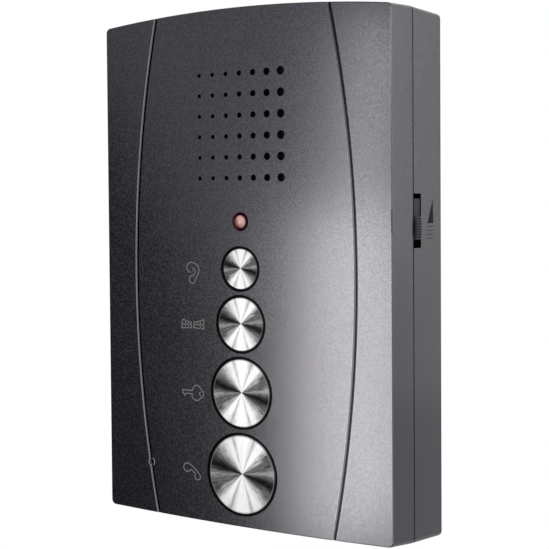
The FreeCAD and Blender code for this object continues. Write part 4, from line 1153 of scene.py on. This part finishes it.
@dataclass
class Electronics:
    """The circuit board and what is soldered to it."""

    lacquer: Lacquer = Lacquer()
    screw: Finish = Finish((186, 184, 170), 0.3, 1.0, depth=0.001)
    tin: Finish = Finish((198, 198, 200), 0.28, 1.0, size=0.4, depth=0.001)
    epoxy: Finish = Finish((30, 30, 32), 0.55, size=0.25, depth=0.006)
    nylon: Finish = Finish((222, 218, 206), 0.42, depth=0.003)
    green: Finish = Finish((42, 128, 74), 0.42, depth=0.003)
    brass: Finish = Finish((206, 170, 92), 0.3, 1.0, size=0.4, depth=0.001)
    sleeve: Finish = Finish((24, 30, 58), 0.3, size=1.2, depth=0.002)
    stripe: Finish = Finish((196, 198, 206), 0.35, size=1.2, depth=0.002)
    film: Finish = Finish((176, 44, 36), 0.36, size=0.8)
    ceramic: Finish = Finish((206, 178, 132), 0.45, size=0.6)
    band_brown: Finish = Finish((92, 48, 26), 0.42)
    band_gold: Finish = Finish((190, 150, 60), 0.35, 0.6)
    blue: Finish = Finish((36, 84, 158), 0.38, depth=0.003)
    glass: Finish = Finish((26, 24, 26), 0.3, depth=0.001)
    red_wire: Finish = Finish((168, 32, 30), 0.42, size=0.6)
    black_wire: Finish = Finish((24, 24, 26), 0.45, size=0.6)
    resistor_width: float = 4.7
    band_pitch: float = 1.3
    band_width: float = 0.32
    band_shift: float = 0.6
    last_band: float = 1.2
    gold_band: float = 2.1
    resistor_end: float = 3.21
    stripe_start: float = 3.2
    can_top: float = 0.4
    wire_pair: float = 6.3
    wire_side: float = 3.1
    chip_leg: float = 0.5
    diode_band: float = 29.05
    transistor_legs: float = 2.0
    trimmer_body: float = 4.2

    def local(self, place: Place) -> Level:
        """How far a point lies from the middle of the nearest column of small parts.

        Args:
            place: The point being painted.

        Returns:
            The distance, negative to the left.
        """
        spacing = (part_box("resistors")[1].x / MM - self.resistor_width) / 2
        return (place.x / spacing + 0.5) % 1.0 * spacing - spacing / 2

    def resistor(self) -> Split:
        """A resistor's finish.

        Returns:
            Brown bands and a gold one on the ceramic, and tinned wires.
        """

        def brown(place: Place) -> Level:
            """1 on the brown bands."""
            shift = abs(self.local(place) + self.band_shift) % self.band_pitch
            return (shift < self.band_width) * (self.local(place) < self.last_band)

        def gold(place: Place) -> Level:
            """1 on the gold band."""
            return 1 - abs(self.local(place) - self.gold_band).rise(0.2, 0.22)

        banded = Split(Split(self.ceramic, self.band_brown, brown), self.band_gold, gold)
        return Split(banded, self.tin, lambda place: abs(self.local(place)) > self.resistor_end)

    def capacitor(self) -> Split:
        """A sleeved can's finish.

        Returns:
            The sleeve with a pale stripe, and a bare top.
        """
        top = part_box("electrolytic_capacitors")[1].y / MM - self.can_top
        sleeve = Split(self.sleeve, self.stripe,
                       lambda place: self.local(place) > self.stripe_start)
        return Split(sleeve, self.tin, lambda place: place.y > top)

    def lead(self) -> Split:
        """The finish of a red and a black wire, side by side.

        Returns:
            Red on the wire that starts on the right, and black on the other.
        """
        low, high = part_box("speaker_lead")
        slope = (high.x - low.x - self.wire_pair * MM) / (high.z - low.z)
        start, top = high.x / MM - self.wire_side, high.z / MM
        return Split(self.black_wire, self.red_wire,
                     lambda place: place.x - (place.z - top) * slope > start)

    def build(self) -> None:
        """Dresses the board and its parts."""
        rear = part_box("main_board")[1].y / MM
        low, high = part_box("amplifier_chip")
        middle = (low.z + high.z) / 2 / MM
        legs = (high.z - low.z) / 2 / MM - self.chip_leg
        chip = Split(self.epoxy, self.tin, lambda place: abs(place.z - middle) > legs)
        diode = Split(self.glass, self.stripe,
                      lambda place: 1 - abs(abs(place.x) - self.diode_band).rise(0.3, 0.32))
        trimmer = Split(self.blue, self.nylon, lambda place: place.y > rear + self.trimmer_body)
        legged = Split(self.epoxy, self.tin, lambda place: place.y < rear + self.transistor_legs)
        dress_each((
            ("main_board", "board_lacquer", self.lacquer),
            ("board_screws", "board_screw_steel", self.screw),
            ("terminal_block", "terminal_moulding", self.green),
            ("terminal_cages", "cage_brass", self.brass),
            ("terminal_screws", "terminal_screw_steel", self.screw),
            ("chip_socket", "socket_moulding", self.epoxy),
            ("amplifier_chip", "chip_epoxy", chip),
            ("electrolytic_capacitors", "can_sleeve", self.capacitor()),
            ("film_capacitors", "film_box", self.film),
            ("resistors", "banded_resistor", self.resistor()),
            ("diodes", "diode_body", diode),
            ("transistors", "transistor_epoxy", legged),
            ("trimmers", "trimmer_moulding", trimmer),
            ("speaker_connector", "connector_nylon", self.nylon),
            ("speaker_plug", "plug_nylon", self.nylon),
            ("speaker_lead", "lead_jacket", self.lead())))


@dataclass(frozen=True)
class Panel:
    """A flat thing in the studio, placed and aimed in millimetres, and turned in degrees."""

    name: str
    place: Spot
    aim: Spot
    width: float
    height: float
    lean: float

    def stand(self, panel: bpy.types.Object) -> None:
        """Stands the panel in its place, out of the camera's sight.

        Args:
            panel: Its object, which faces what its local -Z points at.
        """
        start = Vector(self.place) * MM
        back = (start - Vector(self.aim) * MM).normalized()
        across = Vector((0.0, 0.0, 1.0)).cross(back).normalized()
        turn = Matrix((across, back.cross(across), back)).transposed().to_4x4()
        lean = Matrix.Rotation(math.radians(self.lean), 4, "Z")
        panel.matrix_world = Matrix.Translation(start) @ turn @ lean
        panel.visible_camera = False


@dataclass(frozen=True)
class Softbox(Panel):
    """A flat lamp."""

    power: float
    colour: Colour = (1.0, 0.99, 0.955)

    def build(self) -> None:
        """Adds the lamp."""
        data = bpy.data.lights.new(self.name, "AREA")
        data.shape = "RECTANGLE"
        data.size, data.size_y = self.width * MM, self.height * MM
        data.energy = self.power
        data.color = self.colour
        lamp = bpy.data.objects.new(self.name, data)
        bpy.context.scene.collection.objects.link(lamp)
        self.stand(lamp)


@dataclass(frozen=True)
class Card(Panel):
    """A flat card that the gloss mirrors."""

    glow: float
    tint: Colour = (0.96, 0.94, 1.0)
    cloud_scale: float = 0.01
    cloud_light: float = 0.004
    base_light: float = 0.002

    def build(self) -> None:
        """Adds the card with its even glow."""
        deselect()
        bpy.ops.mesh.primitive_plane_add(size=1.0)
        card = bpy.context.object
        card.name = self.name
        self.stand(card)
        card.scale = (self.width * MM, self.height * MM, 1.0)
        place = Place(self.name + "_paint")
        light = place.cloud(self.cloud_scale) * self.cloud_light + self.base_light
        shader = place.node("BsdfPrincipled", {
            "Base Color": place.scaled(WHITE, light),
            "Roughness": 0.9, "Emission Color": self.tint, "Emission Strength": self.glow})
        place.node("OutputMaterial", {"Surface": shader.outputs[0]})
        card.data.materials.append(place.owner)


@dataclass
class Studio:
    """The plain studio: white surroundings, a pale floor below, soft lamps and the camera."""

    lamps: tuple[Softbox, ...] = (
        Softbox("strip_high", (-147.5, -393.5, 70.0), (20.0, -35.0, -10.0), 22.0, 133.0, -7.0,
                power=0.16),
        Softbox("strip_low", (-126.0, -341.4, -83.0), (20.0, -35.0, -10.0), 66.2, 195.0, 0.0,
                power=0.662),
        Softbox("side_box", (446.3, 457.9, 249.4), (57.2, -20.0, 30.0), 117.4, 599.5, 0.0,
                power=1.39, colour=(0.94, 0.93, 1.0)))
    cards: tuple[Card, ...] = (
        Card("dark_card", (-543.3, -442.0, -208.1), (0.0, -35.0, 0.0), 549.9, 988.3, 26.9,
             glow=0.0),
        Card("grey_card", (247.0, 357.0, -262.0), (57.2, -20.0, -60.0), 400.0, 320.0, 0.0,
             glow=0.74))
    ambient: float = 0.45
    floor_height: float = -450.0
    floor_radius: float = 1000.0
    floor_sides: int = 96
    floor_paint: Finish = Finish((235, 235, 235), 0.8, depth=0.0)
    camera_place: Spot = (247.354, -395.356, 26.762)
    camera_right: Spot = (0.83816, 0.54537, -0.00766)
    camera_down: Spot = (0.01339, -0.03461, -0.99931)
    camera_shift: Span = (0.00419, -0.06454)
    clip: Span = (0.01, 20.0)
    focal_length: float = 85.672
    film_width: float = 36.0

    def camera(self) -> None:
        """Adds the camera at the photograph's place."""
        data = bpy.data.cameras.new("camera")
        data.lens, data.sensor_width = self.focal_length, self.film_width
        data.shift_x, data.shift_y = self.camera_shift
        data.clip_start, data.clip_end = self.clip
        right = Vector(self.camera_right).normalized()
        back = right.cross(-Vector(self.camera_down)).normalized()
        turn = Matrix((right, back.cross(right), back)).transposed().to_4x4()
        camera = bpy.data.objects.new("camera", data)
        camera.matrix_world = Matrix.Translation(Vector(self.camera_place) * MM) @ turn
        bpy.context.scene.collection.objects.link(camera)
        bpy.context.scene.camera = camera

    def surroundings(self) -> None:
        """White for the camera, for gloss and through glass, and a soft grey light elsewhere."""
        world = Graph(bpy.data.worlds.new("studio"))
        rays = world.node("LightPath", {}).outputs
        camera, gloss, glass = (
            Level(world, rays[name])
            for name in ("Is Camera Ray", "Is Glossy Ray", "Is Transmission Ray"))
        seen = world.math("MAXIMUM", world.math("MAXIMUM", camera, gloss), glass)
        soft, white = (
            world.node("Background", {"Color": WHITE, "Strength": strength}).outputs[0]
            for strength in (self.ambient, 1.0))
        mixed = world.node("MixShader", {0: seen, 1: soft, 2: white})
        world.node("OutputWorld", {"Surface": mixed.outputs[0]})
        bpy.context.scene.world = world.owner

    def floor(self) -> None:
        """A pale round floor well below the hung station."""
        deselect()
        bpy.ops.mesh.primitive_circle_add(vertices=self.floor_sides, fill_type="NGON",
                                          radius=self.floor_radius * MM,
                                          location=(0, 0, self.floor_height * MM))
        floor = bpy.context.object
        floor.name = "floor"
        floor.data.materials.append(paint("floor_paint", self.floor_paint))

    def build(self) -> None:
        """Sets up camera, light and floor."""
        self.camera()
        self.surroundings()
        self.floor()
        for thing in self.lamps + self.cards:
            thing.build()
        bpy.context.scene.view_settings.view_transform = "Standard"
        log.info("studio ready")


def main() -> None:
    """Builds the scene."""
    logging.basicConfig(level=logging.INFO, format="%(message)s", stream=sys.stdout)
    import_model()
    for part in (Studio(), Casing(), ButtonColumn(), SignalLamp(), VolumeSlider(), Speaker(),
                 Microphone(), Electronics()):
        part.build()


if __name__ == "__main__":
    main()
